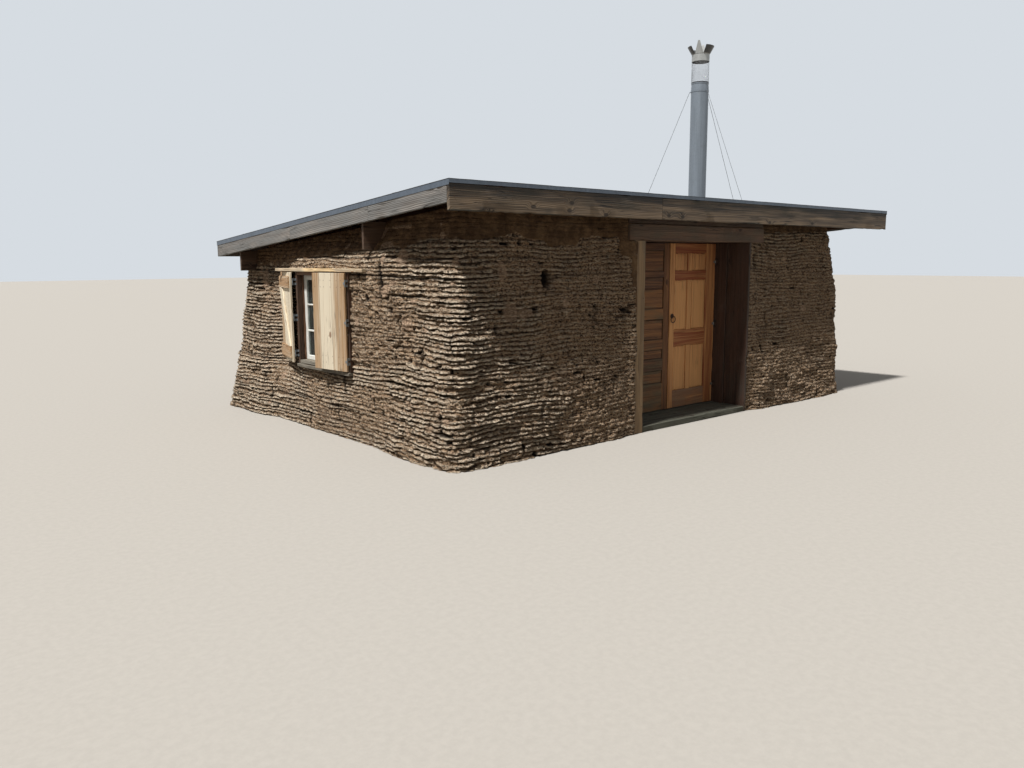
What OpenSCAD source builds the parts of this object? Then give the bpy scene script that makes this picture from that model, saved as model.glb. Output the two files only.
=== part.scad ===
// Turf house: sod walls under a shed roof of planks, with a pair of recessed doors,
// one shuttered window and a guyed metal chimney. Millimetres, +Z up, front towards -Y.
// The origin is on the ground under the middle of the roof.

/* [Roof] */
// Length of the roof along the front, over the roofing felt
roof_w = 8080; // [7000:10:9000]
// Depth of the roof from front to back, over the roofing felt
roof_d = 5184; // [4900:10:6000]
// Height of the front edge of the roof above the ground
roof_front_z = 2616; // [2560:2:2900]
// Fall of the roof to the back, for each unit of depth
roof_slope = 0.0833; // [0.04:0.001:0.1]
// Thickness of the roofing felt over the metal edge
felt_t = 6; // [3:1:12]
// How far the felt stands out past the metal edge
felt_lip = 3; // [1:1:10]
// Thickness of the plank deck
deck_t = 30; // [20:1:45]
// Thickness of the metal edge
edge_t = 2; // [1:0.5:4]
// Width of the metal edge's flange on the deck
edge_flange = 60; // [30:5:100]
// Drop of the metal edge over the front fascia, from the deck's top
edge_drop_front = 32; // [15:1:60]
// Drop of the metal edge at the sides and the back
edge_drop_side = 48; // [20:1:80]
// Thickness of the fascia boards
fascia_t = 38; // [25:1:50]
// Depth of the front fascia
fascia_front_h = 235; // [150:5:280]
// Depth of the fascia at the sides and the back
fascia_side_h = 165; // [120:5:200]
// Length of the left board of the front fascia
fascia_left_l = 2865; // [1500:5:6000]
// Thickness of a rafter
rafter_t = 38; // [30:1:60]
// Depth of a rafter
rafter_h = 140; // [120:1:180]
// Clearance of the pipe from a rafter that it would meet
trimmer_gap = 20; // [10:1:40]
// Number of rafters
rafter_count = 13; // [10:1:18]
// Clearance between pieces that lie on each other along the slope
slope_gap = 0.2; // [0.1:0.05:0.5]

/* [Beams] */
// Thickness of the roof beams
beam_t = 38; // [30:1:80]
// Depth of the middle beam
beam_mid_h = 285; // [200:5:300]
// Middle beam's distance behind the inner face of the front wall
beam_mid_in = 780; // [300:10:2800]
// Depth of the rear beam
beam_rear_h = 260; // [200:5:300]
// Distance of the rear beam's middle behind the inner face of the back wall
beam_rear_in = 105; // [60:5:300]
// Gap between the beams' ends and the side fascias
beam_end_gap = 10; // [2:1:60]

/* [Sod walls] */
// Overhang of the roof past the top of the left wall
eave_left = 330; // [250:5:450]
// Overhang of the roof past the top of the right wall
eave_right = 1060; // [900:5:1300]
// Overhang of the roof past the top of the front wall
eave_front = 302; // [280:1:400]
// Overhang of the roof past the top of the back wall
eave_back = 232; // [180:1:400]
// Batter of the left wall: how far its foot stands out past its top
batter_left = 320; // [100:5:325]
// Batter of the right wall
batter_right = 50; // [50:5:300]
// Batter of the front wall
batter_front = 270; // [100:5:290]
// Batter of the back wall
batter_back = 190; // [50:5:220]
// Thickness of the left wall at its top
wall_left_t = 500; // [400:5:700]
// Thickness of the right wall at its top
wall_right_t = 500; // [400:5:700]
// Thickness of the front wall at its top
wall_front_t = 450; // [350:5:600]
// Thickness of the back wall at its top
wall_back_t = 500; // [400:5:700]
// Height of the plank floor inside, above the ground
floor_h = 62; // [30:1:70]
// Radius of the two front corners of the sod walls
corner_front_r = 140; // [80:5:250]
// Radius of the two back corners of the sod walls
corner_back_r = 270; // [100:5:350]
// Longest distance between the points that shape the sod faces
sod_step = 550; // [400:10:900]
// Size of the long swells in the sod faces
swell = 12; // [0:1:16]
// Bulge of the right front corner
bulge = 40; // [0:5:120]
// Height of the middle of the bulge above the ground
bulge_z = 1350; // [1000:10:1700]
// Width over which the turf comes out to the door surround
door_turf_w = 330; // [200:10:450]
// How far the turf stays behind the front of the door surround
door_turf_in = 10; // [8:1:25]
// Width of the turf that stands level with the window frame on each side
window_turf_w = 300; // [200:10:400]
// Width over which that turf falls back to the plane of the wall
window_turf_fall = 750; // [500:10:800]
// How far that turf stays behind the front of the window frame
window_turf_in = 30; // [20:1:45]
// Height over the window at which that turf is back in the plane of the wall
window_turf_top = 450; // [300:10:500]

/* [Doorway] */
// Middle of the doorway, from the roof's left edge
door_mid_in = 3770; // [3500:10:4200]
// Width of the jamb post on the left
jamb_w = 127; // [60:1:180]
// Depth of the jamb post
jamb_d = 90; // [60:2:140]
// Top of the door sill
door_sill_h = 70; // [40:1:90]
// Door surround's front plane, behind the foot of the front wall
surround_in = 70; // [20:5:120]
// Depth of the recess in front of the doors
recess_d = 500; // [400:5:540]
// Thickness of the boards that line the reveal
lining_t = 38; // [25:1:50]
// Width of the casing board on the left
casing_w = 180; // [100:5:220]
// Thickness of the casing board
casing_t = 38; // [20:1:50]
// Width of the lintel timber past the reveal on the left
lintel_left = 260; // [150:5:320]
// Width of the lintel timber past the reveal on the right
lintel_right = 307; // [150:5:360]
// Depth of the lintel timber into the wall
lintel_d = 200; // [150:5:260]
// Height of the lintel timber
lintel_h = 262; // [150:2:270]
// Lintel's top below the rafters' underside, taken at the roof's front edge
lintel_under = 56; // [40:1:120]

/* [Door leaves] */
// Width of each door leaf
leaf_w = 912; // [880:1:925]
// Thickness of the door leaves
leaf_t = 45; // [35:1:50]
// Gap at the hinge side of a leaf
leaf_side_gap = 5; // [4:0.5:8]
// Gap between the two closed leaves
leaf_mid_gap = 12; // [10:0.5:16]
// Gap under the leaves
leaf_low_gap = 8; // [5:1:15]
// Gap over the leaves
leaf_top_gap = 8; // [6:1:15]
// Width of a leaf's stiles
stile_w = 100; // [90:1:140]
// Width of the right leaf's stile at its hinges
hinge_stile_w = 190; // [140:1:220]
// Width of the right leaf's upright between its panels
mid_w = 87; // [60:1:110]
// Depth of the panels below the stiles and rails
panel_sink = 12; // [6:1:16]
// Height of the ring pull above the foot of the leaf
ring_z = 1150; // [900:10:1300]
// Outer diameter of the ring pull
ring_d = 90; // [60:2:110]
// Thickness of the ring
ring_bar = 10; // [8:1:14]
// Diameter of the round plate behind the ring
rose_d = 60; // [45:1:80]
// Thickness of the round plate
rose_t = 6; // [3:1:10]

/* [Hinges] */
// Radius of the hinge knuckles on the doors
door_knuckle_r = 5; // [4:0.5:6]
// Distance of the hinge pin from the reveal
door_pin_side = 12; // [11:0.5:14]
// Distance of the hinge pin in front of the leaf's face
door_pin_out = 6; // [6:0.5:8]
// Height of a door hinge
door_hinge_h = 96; // [60:2:120]
// Radius of the hinge knuckles on the shutters
shutter_knuckle_r = 4; // [3:0.5:5]
// Height of a shutter hinge
shutter_hinge_h = 76; // [50:2:100]
// Thickness of the hinge plates
plate_t = 3; // [2:0.5:4]
// Radius of the hinge pins
pin_r = 2.2; // [1.5:0.1:2.5]
// Clearance of the pin and between the knuckles
pin_gap = 0.3; // [0.2:0.05:0.5]

/* [Window] */
// Window frame's near edge, behind the inner face of the front wall
window_in = 1120; // [600:10:1800]
// Width of the window frame
window_w = 1190; // [1100:5:1250]
// Foot of the window frame
window_low_z = 745; // [700:5:800]
// Height of the window frame
window_h = 1055; // [1000:5:1080]
// Window frame's front plane, inside the foot of the left wall
window_set = 50; // [40:5:80]
// Thickness of the frame's boards
window_board_t = 40; // [30:1:50]
// Thickness of the sill
window_sill_t = 42; // [30:1:60]
// How far the sill stands out past the frame
window_sill_out = 25; // [10:1:40]
// Thickness of the board over the window
drip_t = 38; // [25:1:45]
// Width of the board over the window
drip_d = 330; // [200:5:380]
// Length of the board over the window
drip_l = 1990; // [1500:10:2200]
// How far the board over the window runs past the frame's near edge
drip_near = 330; // [200:10:600]
// Depth of the sash behind the frame's front
sash_back = 85; // [70:1:120]
// Thickness of the sash
sash_t = 35; // [25:1:45]
// Width of the sash's stiles and rails
sash_w = 55; // [40:1:70]
// Width of the glazing bars
bar_w = 22; // [15:1:30]
// Number of panes across
pane_cols = 2; // [1:1:4]
// Number of panes in height
pane_rows = 3; // [1:1:5]
// Thickness of the glass
glass_t = 4; // [3:0.5:6]

/* [Shutters] */
// Thickness of a shutter's boards
shutter_t = 24; // [18:1:30]
// Thickness of the battens inside
batten_t = 22; // [15:1:28]
// Height of the battens
batten_h = 140; // [80:2:180]
// Gap between the shutters and the frame
shutter_gap = 8; // [6:0.5:12]
// Gap between the two shutters
shutter_mid_gap = 10; // [7:0.5:14]
// How far the near shutter stands open, in degrees
near_open = 7; // [0:1:90]
// How far the far shutter stands open, in degrees
far_open = 195; // [90:1:200]
// Clearance between the free edge of the open far shutter and the turf behind it
far_turf_gap = 50; // [45:5:80]

/* [Chimney] */
// Middle of the chimney, from the roof's right edge
chimney_right = 2360; // [2000:5:3500]
// Clearance between the chimney pipe and the middle beam in front of it
chimney_gap = 19.5; // [15:0.5:1200]
// Outer diameter of the chimney pipe
pipe_d = 246; // [200:1:260]
// Wall of the insulated pipe
pipe_wall = 25; // [15:1:30]
// Clearance round the pipe where it passes through a piece
pipe_gap = 0.3; // [0.1:0.1:2]
// Top of the pipe above the ground
pipe_top_z = 4400; // [4000:10:4600]
// Length of the pipe below the deck
pipe_below = 330; // [200:10:500]
// Height of the spark screen
screen_h = 278; // [200:2:350]
// Thickness of the spark screen
screen_t = 3; // [2:0.5:5]
// Height of the cap's ring
cap_ring_h = 92; // [60:2:120]
// Thickness of the cap's sheet metal
cap_t = 3; // [2:0.5:5]
// Height of the cap's side petals above the ring
petal_side_h = 110; // [80:2:150]
// Height of the cap's front and back petals above the ring
petal_front_h = 175; // [120:2:200]
// Spread of the side petals beyond the ring
petal_side_out = 62; // [30:2:80]
// Spread of the front and back petals beyond the ring
petal_front_out = 25; // [10:1:50]
// Turn of the petals from the front of the house, in degrees
petal_turn = -65; // [-90:1:90]
// Width of the flashing's base plate
flashing_w = 460; // [400:10:500]
// Thickness of the flashing
flashing_t = 3; // [2:0.5:5]
// Height of the flashing's cone above the roof
flashing_h = 150; // [100:5:200]
// Lower diameter of the flashing's cone
flashing_cone_d = 380; // [340:5:400]

/* [Stays] */
// Height of the band that holds the stays
band_z = 4265; // [3900:5:4300]
// Height of the band
band_h = 30; // [20:1:50]
// Thickness of the band
band_t = 3; // [2:0.5:5]
// Thickness of the wire of the stays
stay_d = 5; // [4:0.5:8]
// Distance of the stays' feet from the middle of the pipe
stay_reach = 950; // [700:10:1100]
// Side of the stays' foot plates
foot_w = 60; // [40:2:80]
// Directions of the three stays, in degrees
stay_turns = [110, -5, -100];

/* [Hidden] */
$fn = 48;

// Heights below the top of the roof, from the felt down to the rafters' underside
deck_top = felt_t + edge_t;
deck_low = deck_top + deck_t;
soffit = deck_low + rafter_h;

// Outer faces of the walls at their top and foot, and inner faces
left_top_x = -roof_w / 2 + eave_left;
left_base_x = left_top_x - batter_left;
right_top_x = roof_w / 2 - eave_right;
right_base_x = right_top_x + batter_right;
front_top_y = -roof_d / 2 + eave_front;
front_base_y = front_top_y - batter_front;
back_top_y = roof_d / 2 - eave_back;
back_base_y = back_top_y + batter_back;
room_left_x = left_top_x + wall_left_t;
room_right_x = right_top_x - wall_right_t;
room_front_y = front_top_y + wall_front_t;
room_back_y = back_top_y - wall_back_t;
beam_mid_y = room_front_y + beam_mid_in;

// Outer faces of the metal edge and of the fascias
metal_x = roof_w / 2 - felt_lip;
metal_y = roof_d / 2 - felt_lip;
fascia_x = metal_x - edge_t;
fascia_y = metal_y - edge_t;
rafter_front_y = -fascia_y + fascia_t;
rafter_back_y = fascia_y - fascia_t;
rafter_side_x = fascia_x - fascia_t;
fascia_joint_x = -fascia_x + fascia_left_l;

// Leans of the wall faces, as a step for each unit of height, and the turning points of the
// sod faces in height
wall_top_in = soffit + slope_gap;
front_top_z = roof_front_z - eave_front * roof_slope - wall_top_in;
back_top_z = roof_front_z - (roof_d - eave_back) * roof_slope - wall_top_in;
lean_left = batter_left / front_top_z;
lean_right = -batter_right / front_top_z;
lean_front = batter_front / front_top_z;
lean_back = -batter_back / back_top_z;

// Doorway
door_head_z = roof_front_z - soffit - lintel_under - lintel_h;
surround_y = front_base_y + surround_in;
leaf_y = surround_y + recess_d;
door_mid_x = -roof_w / 2 + door_mid_in;
right_leaf_x = door_mid_x + leaf_mid_gap / 2 + leaf_w;
left_leaf_x = door_mid_x - leaf_mid_gap / 2 - leaf_w;
reveal_right_x = right_leaf_x + leaf_side_gap;
jamb_x = left_leaf_x - leaf_side_gap;
reveal_left_x = jamb_x - jamb_w;
rough_left_x = reveal_left_x - lining_t;
rough_right_x = reveal_right_x + lining_t;
casing_left_x = reveal_left_x - casing_w;
head_t = lining_t;
lining_gap = 4;
leaf_low_z = door_sill_h + leaf_low_gap;
leaf_top_z = door_head_z - leaf_top_gap;
leaf_h = leaf_top_z - leaf_low_z;
right_pin_x = reveal_right_x - door_pin_side;
left_pin_x = jamb_x + door_pin_side;
door_pin_y = leaf_y - door_pin_out;
door_hinge_in = 180;
door_hinge_z = [
    leaf_low_z + door_hinge_in,
    leaf_low_z + leaf_h / 2 - door_hinge_h / 2,
    leaf_top_z - door_hinge_in - door_hinge_h];
hinge_leaf_w = 32;

// Window
window_front_x = left_base_x + window_set;
window_near_y = room_front_y + window_in;
window_far_y = window_near_y + window_w;
window_top_z = window_low_z + window_h;
drip_y = window_near_y - drip_near;
sash_x = window_front_x + sash_back;
shutter_in_x = window_front_x - shutter_gap;
shutter_out_x = shutter_in_x - shutter_t;
shutter_w = (window_w - shutter_mid_gap) / 2;
shutter_low_z = window_low_z + shutter_gap;
shutter_h = window_h - 2 * shutter_gap;
shutter_pin_out = 3;
shutter_pin_x = shutter_out_x - shutter_pin_out;
far_turf_x = shutter_pin_x + shutter_w * sin(max(0, far_open - 180)) + far_turf_gap;
batten_gap = 12;
batten_side = window_board_t + batten_gap;
shutter_hinge_in = 70;
shutter_hinge_z = [
    shutter_low_z + shutter_hinge_in,
    shutter_low_z + shutter_h / 2 - shutter_hinge_h / 2,
    shutter_low_z + shutter_h - shutter_hinge_in - shutter_hinge_h];

// Chimney, beside the middle beam, and the length of the lugs on its band
chimney_x = roof_w / 2 - chimney_right;
chimney_y = beam_mid_y + beam_t / 2 + chimney_gap + pipe_d / 2;
lug_l = 22;

function roof_z(y) = roof_front_z - (y + roof_d / 2) * roof_slope;

// Slab that follows the roof, from one depth below its top to another
module slope_slab(x0, x1, y0, y1, high, low) {
    translate([x0, 0, 0])
        rotate([90, 0, 90])
            linear_extrude(x1 - x0)
                polygon([
                    [y0, roof_z(y0) - high],
                    [y1, roof_z(y1) - high],
                    [y1, roof_z(y1) - low],
                    [y0, roof_z(y0) - low]]);
}

module block(x0, x1, y0, y1, z0, z1) {
    translate([x0, y0, z0])
        cube([x1 - x0, y1 - y0, z1 - z0]);
}

// Lengths of the three slanting waves that swell the sod faces, along x, y and z, and their
// phase in degrees
swell_waves = [[2300, 1700, 2900, 0], [1450, -2100, -1900, 70], [3100, 1250, 1150, 200]];
bulge_h = 450;
bulge_reach = [100, 900];
low_rings = 5;
ring_fade_z = window_top_z + 50;
ring_step = ring_fade_z / low_rings;
ring_past = 50;
sod_levels = concat(
    [-ring_past],
    [for (i = [1:low_rings]) i * ring_step],
    [window_top_z + window_turf_top, roof_front_z + ring_past]);
// Turf behind the open far shutter: its length, and the length over which it ends
far_turf_w = shutter_w + 60;
far_turf_fall = 400;

// Rises smoothly from 0 at low to 1 at high
function fade(v, low, high) =
    let (t = min(1, max(0, (v - low) / (high - low))))
    t * t * (3 - 2 * t);

function wave(x, y, z, w) = sin(360 * (x / w[0] + y / w[1] + z / w[2]) + w[3]);

// How far the sod face lies out of its battered plane: long swells and the bulge at the right
function sod_swell(x, y, z) =
    swell * (wave(x, y, z, swell_waves[0]) + wave(x, y, z, swell_waves[1])
        + wave(x, y, z, swell_waves[2])) / 1.8
    + bulge * exp(-pow((z - bulge_z) / bulge_h, 2))
        * fade(x, right_top_x - bulge_reach[1], right_top_x - bulge_reach[0])
        * fade(-y, -front_top_y - bulge_reach[1], -front_top_y - bulge_reach[0]);

// How much the turf follows the door surround, and the window frame: 0 to 1
function by_door(x) =
    1 - fade(max(casing_left_x - x, x - rough_right_x), 0, door_turf_w);

function by_window(y, z) =
    (1 - fade(window_near_y - y, window_turf_w, window_turf_w + window_turf_fall))
    * (1 - fade(y - window_far_y, far_turf_w, far_turf_w + far_turf_fall))
    * (1 - fade(z, ring_fade_z, window_top_z + window_turf_top));

// Plane that the turf follows at the window: level with the frame, and falling back behind
// the open far shutter, from a little under it
function window_plane(y, z) =
    let (
        front = window_front_x + window_turf_in,
        far = fade(z, ring_step, 2 * ring_step) * (far_turf_x - front))
    front + far * min(1, max(0, (y - window_far_y) / shutter_w));

function sod_depth(x, y, z, side) =
    let (
        swelled = sod_swell(x, y, z),
        held = side[1] < -0.9 ? by_door(x) : side[0] < -0.9 ? by_window(y, z) : 0,
        plane = side[1] < -0.9 ? y - surround_y - door_turf_in : x - window_plane(y, z))
    swelled * (1 - held) + (plane + 0.35 * swelled) * held;

// A station of the walls' outline: its foot, its lean and its outward side
function front_station(x) = [[x, front_base_y], [0, lean_front], [0, -1]];

function left_station(y) = [[left_base_x, y], [lean_left, 0], [-1, 0]];

function corner(x, y, r, lean_x, lean_y, first) =
    [for (a = [first:30:first + 90])
        [[x + r * cos(a), y + r * sin(a)], [lean_x, lean_y], [cos(a), sin(a)]]];

// Stations from a to b, without b
function run_of(a, b) =
    let (n = ceil(norm(b[0] - a[0]) / sod_step))
    [for (i = [0:n - 1]) a + (b - a) * (i / n)];

function outline(marks) =
    [for (i = [0:len(marks) - 1]) each run_of(marks[i], marks[(i + 1) % len(marks)])];

// Outer form of all the walls: battered on the four sides, round at the corners, swelling, and
// filled out to the door surround and the window frame; cut off under the rafters
module wall_form() {
    inset = 60;
    turf_half = window_turf_w + window_turf_fall / 2;
    turf_end = window_turf_w + window_turf_fall;
    marks = concat(
        corner(left_base_x + corner_front_r, front_base_y + corner_front_r, corner_front_r,
            lean_left, lean_front, 180),
        [for (x = [
            casing_left_x - door_turf_w, casing_left_x - door_turf_w / 2, casing_left_x,
            rough_right_x - inset, rough_right_x + door_turf_w / 2,
            rough_right_x + door_turf_w]) front_station(x)],
        corner(right_base_x - corner_front_r, front_base_y + corner_front_r, corner_front_r,
            lean_right, lean_front, 270),
        corner(right_base_x - corner_back_r, back_base_y - corner_back_r, corner_back_r,
            lean_right, lean_back, 0),
        corner(left_base_x + corner_back_r, back_base_y - corner_back_r, corner_back_r,
            lean_left, lean_back, 90),
        [for (y = [
            window_far_y + far_turf_w + far_turf_fall, window_far_y + far_turf_w + far_turf_fall / 2,
            window_far_y + far_turf_w, window_far_y + shutter_w / 2,
            window_far_y, window_near_y + inset,
            window_near_y - window_turf_w, window_near_y - turf_half,
            window_near_y - turf_end]) left_station(y)]);
    stations = outline(marks);
    n = len(stations);
    rings = len(sod_levels);
    points = [for (z = sod_levels) for (s = stations)
        let (x = s[0][0] + s[1][0] * z, y = s[0][1] + s[1][1] * z, d = sod_depth(x, y, z, s[2]))
        [x + s[2][0] * d, y + s[2][1] * d, z]];
    sides = [for (k = [0:rings - 2]) for (i = [0:n - 1])
        let (a = k * n + i, b = k * n + (i + 1) % n)
        each [[a, a + n, b + n], [a, b + n, b]]];
    intersection() {
        polyhedron(points, concat(sides,
            [[for (i = [0:n - 1]) i]],
            [[for (i = [0:n - 1]) rings * n - 1 - i]]));
        slope_slab(-roof_w, roof_w, -roof_d, roof_d, wall_top_in, 2 * roof_front_z);
    }
}

module wall_part(x0, x1, y0, y1, z0, z1) {
    intersection() {
        wall_form();
        block(x0, x1, y0, y1, z0, z1);
    }
}

module front_wall_left() {
    color("#6b5440")
        difference() {
            wall_part(-roof_w, rough_left_x, -roof_d, room_front_y, 0, roof_front_z);
            door_lintel();
            door_casing_left();
        }
}

module front_wall_right() {
    color("#6b5440")
        difference() {
            wall_part(rough_right_x, roof_w, -roof_d, room_front_y, 0, roof_front_z);
            door_lintel();
        }
}

module front_wall_over_door() {
    color("#6b5440")
        difference() {
            wall_part(rough_left_x, rough_right_x, -roof_d, room_front_y,
                door_head_z + head_t, roof_front_z);
            door_lintel();
        }
}

module left_wall_front() {
    color("#6b5440")
        difference() {
            wall_part(-roof_w, room_left_x, room_front_y, window_near_y, 0, roof_front_z);
            window_drip_board();
            beam_mid();
        }
}

module left_wall_rear() {
    color("#6b5440")
        difference() {
            wall_part(-roof_w, room_left_x, window_far_y, room_back_y, 0, roof_front_z);
            window_drip_board();
        }
}

module left_wall_under_window() {
    color("#6b5440")
        wall_part(-roof_w, room_left_x, window_near_y, window_far_y,
            0, window_low_z - window_sill_t);
}

module left_wall_over_window() {
    color("#6b5440")
        difference() {
            wall_part(-roof_w, room_left_x, window_near_y, window_far_y,
                window_top_z, roof_front_z);
            window_drip_board();
        }
}

module right_wall() {
    color("#6b5440")
        difference() {
            wall_part(room_right_x, roof_w, room_front_y, room_back_y, 0, roof_front_z);
            beam_mid();
        }
}

module back_wall() {
    color("#6b5440")
        difference() {
            wall_part(-roof_w, roof_w, room_back_y, roof_d, 0, roof_front_z);
            beam_rear();
        }
}

module floor_boards() {
    color("#8a7355")
        block(room_left_x, room_right_x, room_front_y, room_back_y, 0, floor_h);
}

module door_sill() {
    color("#5f5347")
        block(reveal_left_x, reveal_right_x, surround_y, room_front_y, 0, door_sill_h);
}

module door_lintel() {
    color("#6d6152")
        block(reveal_left_x - lintel_left, reveal_right_x + lintel_right,
            surround_y, surround_y + lintel_d, door_head_z, door_head_z + lintel_h);
}

module door_casing_left() {
    color("#7b7365")
        block(casing_left_x, reveal_left_x,
            surround_y, surround_y + casing_t, 0, door_head_z);
}

module door_lining_left() {
    color("#54463a")
        block(rough_left_x, reveal_left_x, surround_y + casing_t, room_front_y, 0, door_head_z);
}

// Two wide upright boards side by side
module door_lining_right() {
    board_d = (room_front_y - surround_y - lining_gap) / 2;
    color("#4a3f36")
        for (i = [0, 1])
            translate([0, i * (board_d + lining_gap), 0])
                block(reveal_right_x, rough_right_x,
                    surround_y, surround_y + board_d, 0, door_head_z);
}

module door_jamb_left() {
    color("#54463a")
        block(reveal_left_x, jamb_x, leaf_y, leaf_y + jamb_d, door_sill_h, door_head_z);
}

module door_head() {
    color("#54463a")
        block(rough_left_x, rough_right_x, surround_y + lintel_d, room_front_y,
            door_head_z, door_head_z + head_t);
}

// Sunk fields on both faces of a door leaf, each [left, right, low, high] from its lower left
module sunk_fields(fields, x) {
    for (f = fields)
        for (y = [leaf_y - 1, leaf_y + leaf_t - panel_sink])
            block(x + f[0], x + f[1], y, y + panel_sink + 1,
                leaf_low_z + f[2], leaf_low_z + f[3]);
}

// Six lying panels between two stiles, of uneven heights, given as shares of the leaf
module door_leaf_left() {
    rows = [[0.167, 0.246], [0.315, 0.371], [0.431, 0.552],
        [0.615, 0.733], [0.737, 0.801], [0.836, 0.959]];
    fields = [for (r = rows) [stile_w, leaf_w - stile_w, r[0] * leaf_h, r[1] * leaf_h]];
    color("#6e4e33")
        difference() {
            block(left_leaf_x, left_leaf_x + leaf_w, leaf_y, leaf_y + leaf_t,
                leaf_low_z, leaf_top_z);
            sunk_fields(fields, left_leaf_x);
        }
}

// Six panels in three rows, narrower on the left of the middle upright than on its right
module door_leaf_right() {
    left_share = 0.47;
    rows = [[0.106, 0.381], [0.478, 0.781], [0.836, 0.942]];
    mid_left = stile_w + left_share * (leaf_w - stile_w - hinge_stile_w - mid_w);
    fields = [for (c = [[stile_w, mid_left], [mid_left + mid_w, leaf_w - hinge_stile_w]])
        for (r = rows) [c[0], c[1], r[0] * leaf_h, r[1] * leaf_h]];
    color("#b98248")
        difference() {
            block(right_leaf_x - leaf_w, right_leaf_x, leaf_y, leaf_y + leaf_t,
                leaf_low_z, leaf_top_z);
            sunk_fields(fields, right_leaf_x - leaf_w);
        }
}

// Ring hanging from a stud on a round plate
module door_ring_pull() {
    stud_l = 26;
    stud_d = 12;
    color("#2f2c2a")
        translate([right_leaf_x - leaf_w + stile_w / 2, leaf_y, leaf_low_z + ring_z])
            rotate([90, 0, 0]) {
                cylinder(d = rose_d, h = rose_t);
                cylinder(d = stud_d, h = stud_l);
                translate([0, -(ring_d - ring_bar) / 2, stud_l - ring_bar / 2])
                    rotate_extrude()
                        translate([(ring_d - ring_bar) / 2, 0])
                            circle(d = ring_bar);
            }
}

// Middle knuckle of a butt hinge, bored for its pin
module moving_knuckle(r, h) {
    difference() {
        translate([0, 0, h / 3 + pin_gap])
            cylinder(r = r, h = h / 3 - 2 * pin_gap);
        cylinder(r = pin_r + pin_gap, h = h);
    }
}

// Outer knuckles of a butt hinge with the pin between them
module fixed_knuckles(r, h) {
    cylinder(r = r, h = h / 3);
    translate([0, 0, 2 * h / 3])
        cylinder(r = r, h = h / 3);
    cylinder(r = pin_r, h = h);
}

// Door hinge's moving half; side is 1 where the leaf lies to the right of its pin
module door_hinge_moving(x, side) {
    color("#4b4845")
        for (z = door_hinge_z)
            translate([x, door_pin_y, z]) {
                moving_knuckle(door_knuckle_r, door_hinge_h);
                difference() {
                    translate([side > 0 ? 0 : -hinge_leaf_w, door_pin_out - plate_t,
                        door_hinge_h / 3 + pin_gap])
                        cube([hinge_leaf_w, plate_t, door_hinge_h / 3 - 2 * pin_gap]);
                    cylinder(r = pin_r + pin_gap, h = door_hinge_h);
                }
            }
}

module door_hinges_left() {
    door_hinge_moving(left_pin_x, 1);
}

module door_hinges_right() {
    door_hinge_moving(right_pin_x, -1);
}

// Fixed halves of the door hinges, on the left jamb's face and on the right lining
module door_hinge_plates() {
    third = door_hinge_h / 3;
    color("#4b4845")
        for (z = door_hinge_z) {
            translate([left_pin_x, door_pin_y, z]) {
                fixed_knuckles(door_knuckle_r, door_hinge_h);
                for (h = [0, 2 * third])
                    translate([-hinge_leaf_w - door_pin_side, door_pin_out - plate_t, h])
                        cube([hinge_leaf_w, plate_t, third]);
                for (h = [0, 2 * third])
                    translate([-door_pin_side - plate_t, -plate_t / 2, h])
                        cube([door_pin_side + plate_t, plate_t, third]);
                for (h = [0, 2 * third])
                    translate([-door_pin_side - plate_t, -plate_t / 2, h])
                        cube([plate_t, door_pin_out + plate_t / 2, third]);
            }
            translate([right_pin_x, door_pin_y, z]) {
                fixed_knuckles(door_knuckle_r, door_hinge_h);
                for (h = [0, 2 * third])
                    translate([0, -plate_t / 2, h])
                        cube([door_pin_side, plate_t, third]);
                for (h = [0, 2 * third])
                    translate([door_pin_side - plate_t, -hinge_leaf_w, h])
                        cube([plate_t, hinge_leaf_w, third]);
            }
        }
}

// Box of planks that lines the window opening through the wall
module window_frame() {
    color("#54402f")
        difference() {
            block(window_front_x, room_left_x, window_near_y, window_far_y,
                window_low_z, window_top_z);
            block(window_front_x - 1, room_left_x + 1,
                window_near_y + window_board_t, window_far_y - window_board_t,
                window_low_z + window_board_t, window_top_z - window_board_t);
        }
}

module window_sill() {
    color("#8d8474")
        block(window_front_x - window_sill_out, room_left_x, window_near_y, window_far_y,
            window_low_z - window_sill_t, window_low_z);
}

module window_drip_board() {
    color("#c2a87c")
        block(window_front_x - window_sill_out, window_front_x - window_sill_out + drip_d,
            drip_y, drip_y + drip_l, window_top_z, window_top_z + drip_t);
}

// Painted sash; the bars stand in front of the glass
module window_sash() {
    y0 = window_near_y + window_board_t;
    y1 = window_far_y - window_board_t;
    z0 = window_low_z + window_board_t;
    z1 = window_top_z - window_board_t;
    light_w = (y1 - y0 - 2 * sash_w - (pane_cols - 1) * bar_w) / pane_cols;
    light_h = (z1 - z0 - 2 * sash_w - (pane_rows - 1) * bar_w) / pane_rows;
    bar_t = (sash_t - glass_t) / 2;
    color("#e8e6df") {
        difference() {
            block(sash_x, sash_x + sash_t, y0, y1, z0, z1);
            block(sash_x - 1, sash_x + sash_t + 1, y0 + sash_w, y1 - sash_w,
                z0 + sash_w, z1 - sash_w);
        }
        for (i = [1:1:pane_cols - 1])
            translate([sash_x, y0 + sash_w + i * (light_w + bar_w) - bar_w, z0 + sash_w])
                cube([bar_t, bar_w, z1 - z0 - 2 * sash_w]);
        for (i = [1:1:pane_rows - 1])
            translate([sash_x, y0 + sash_w, z0 + sash_w + i * (light_h + bar_w) - bar_w])
                cube([bar_t, y1 - y0 - 2 * sash_w, bar_w]);
    }
}

module window_glass() {
    x0 = sash_x + (sash_t - glass_t) / 2;
    inset = window_board_t + sash_w;
    color("#a9bcc4")
        block(x0, x0 + glass_t, window_near_y + inset, window_far_y - inset,
            window_low_z + inset, window_top_z - inset);
}

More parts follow.
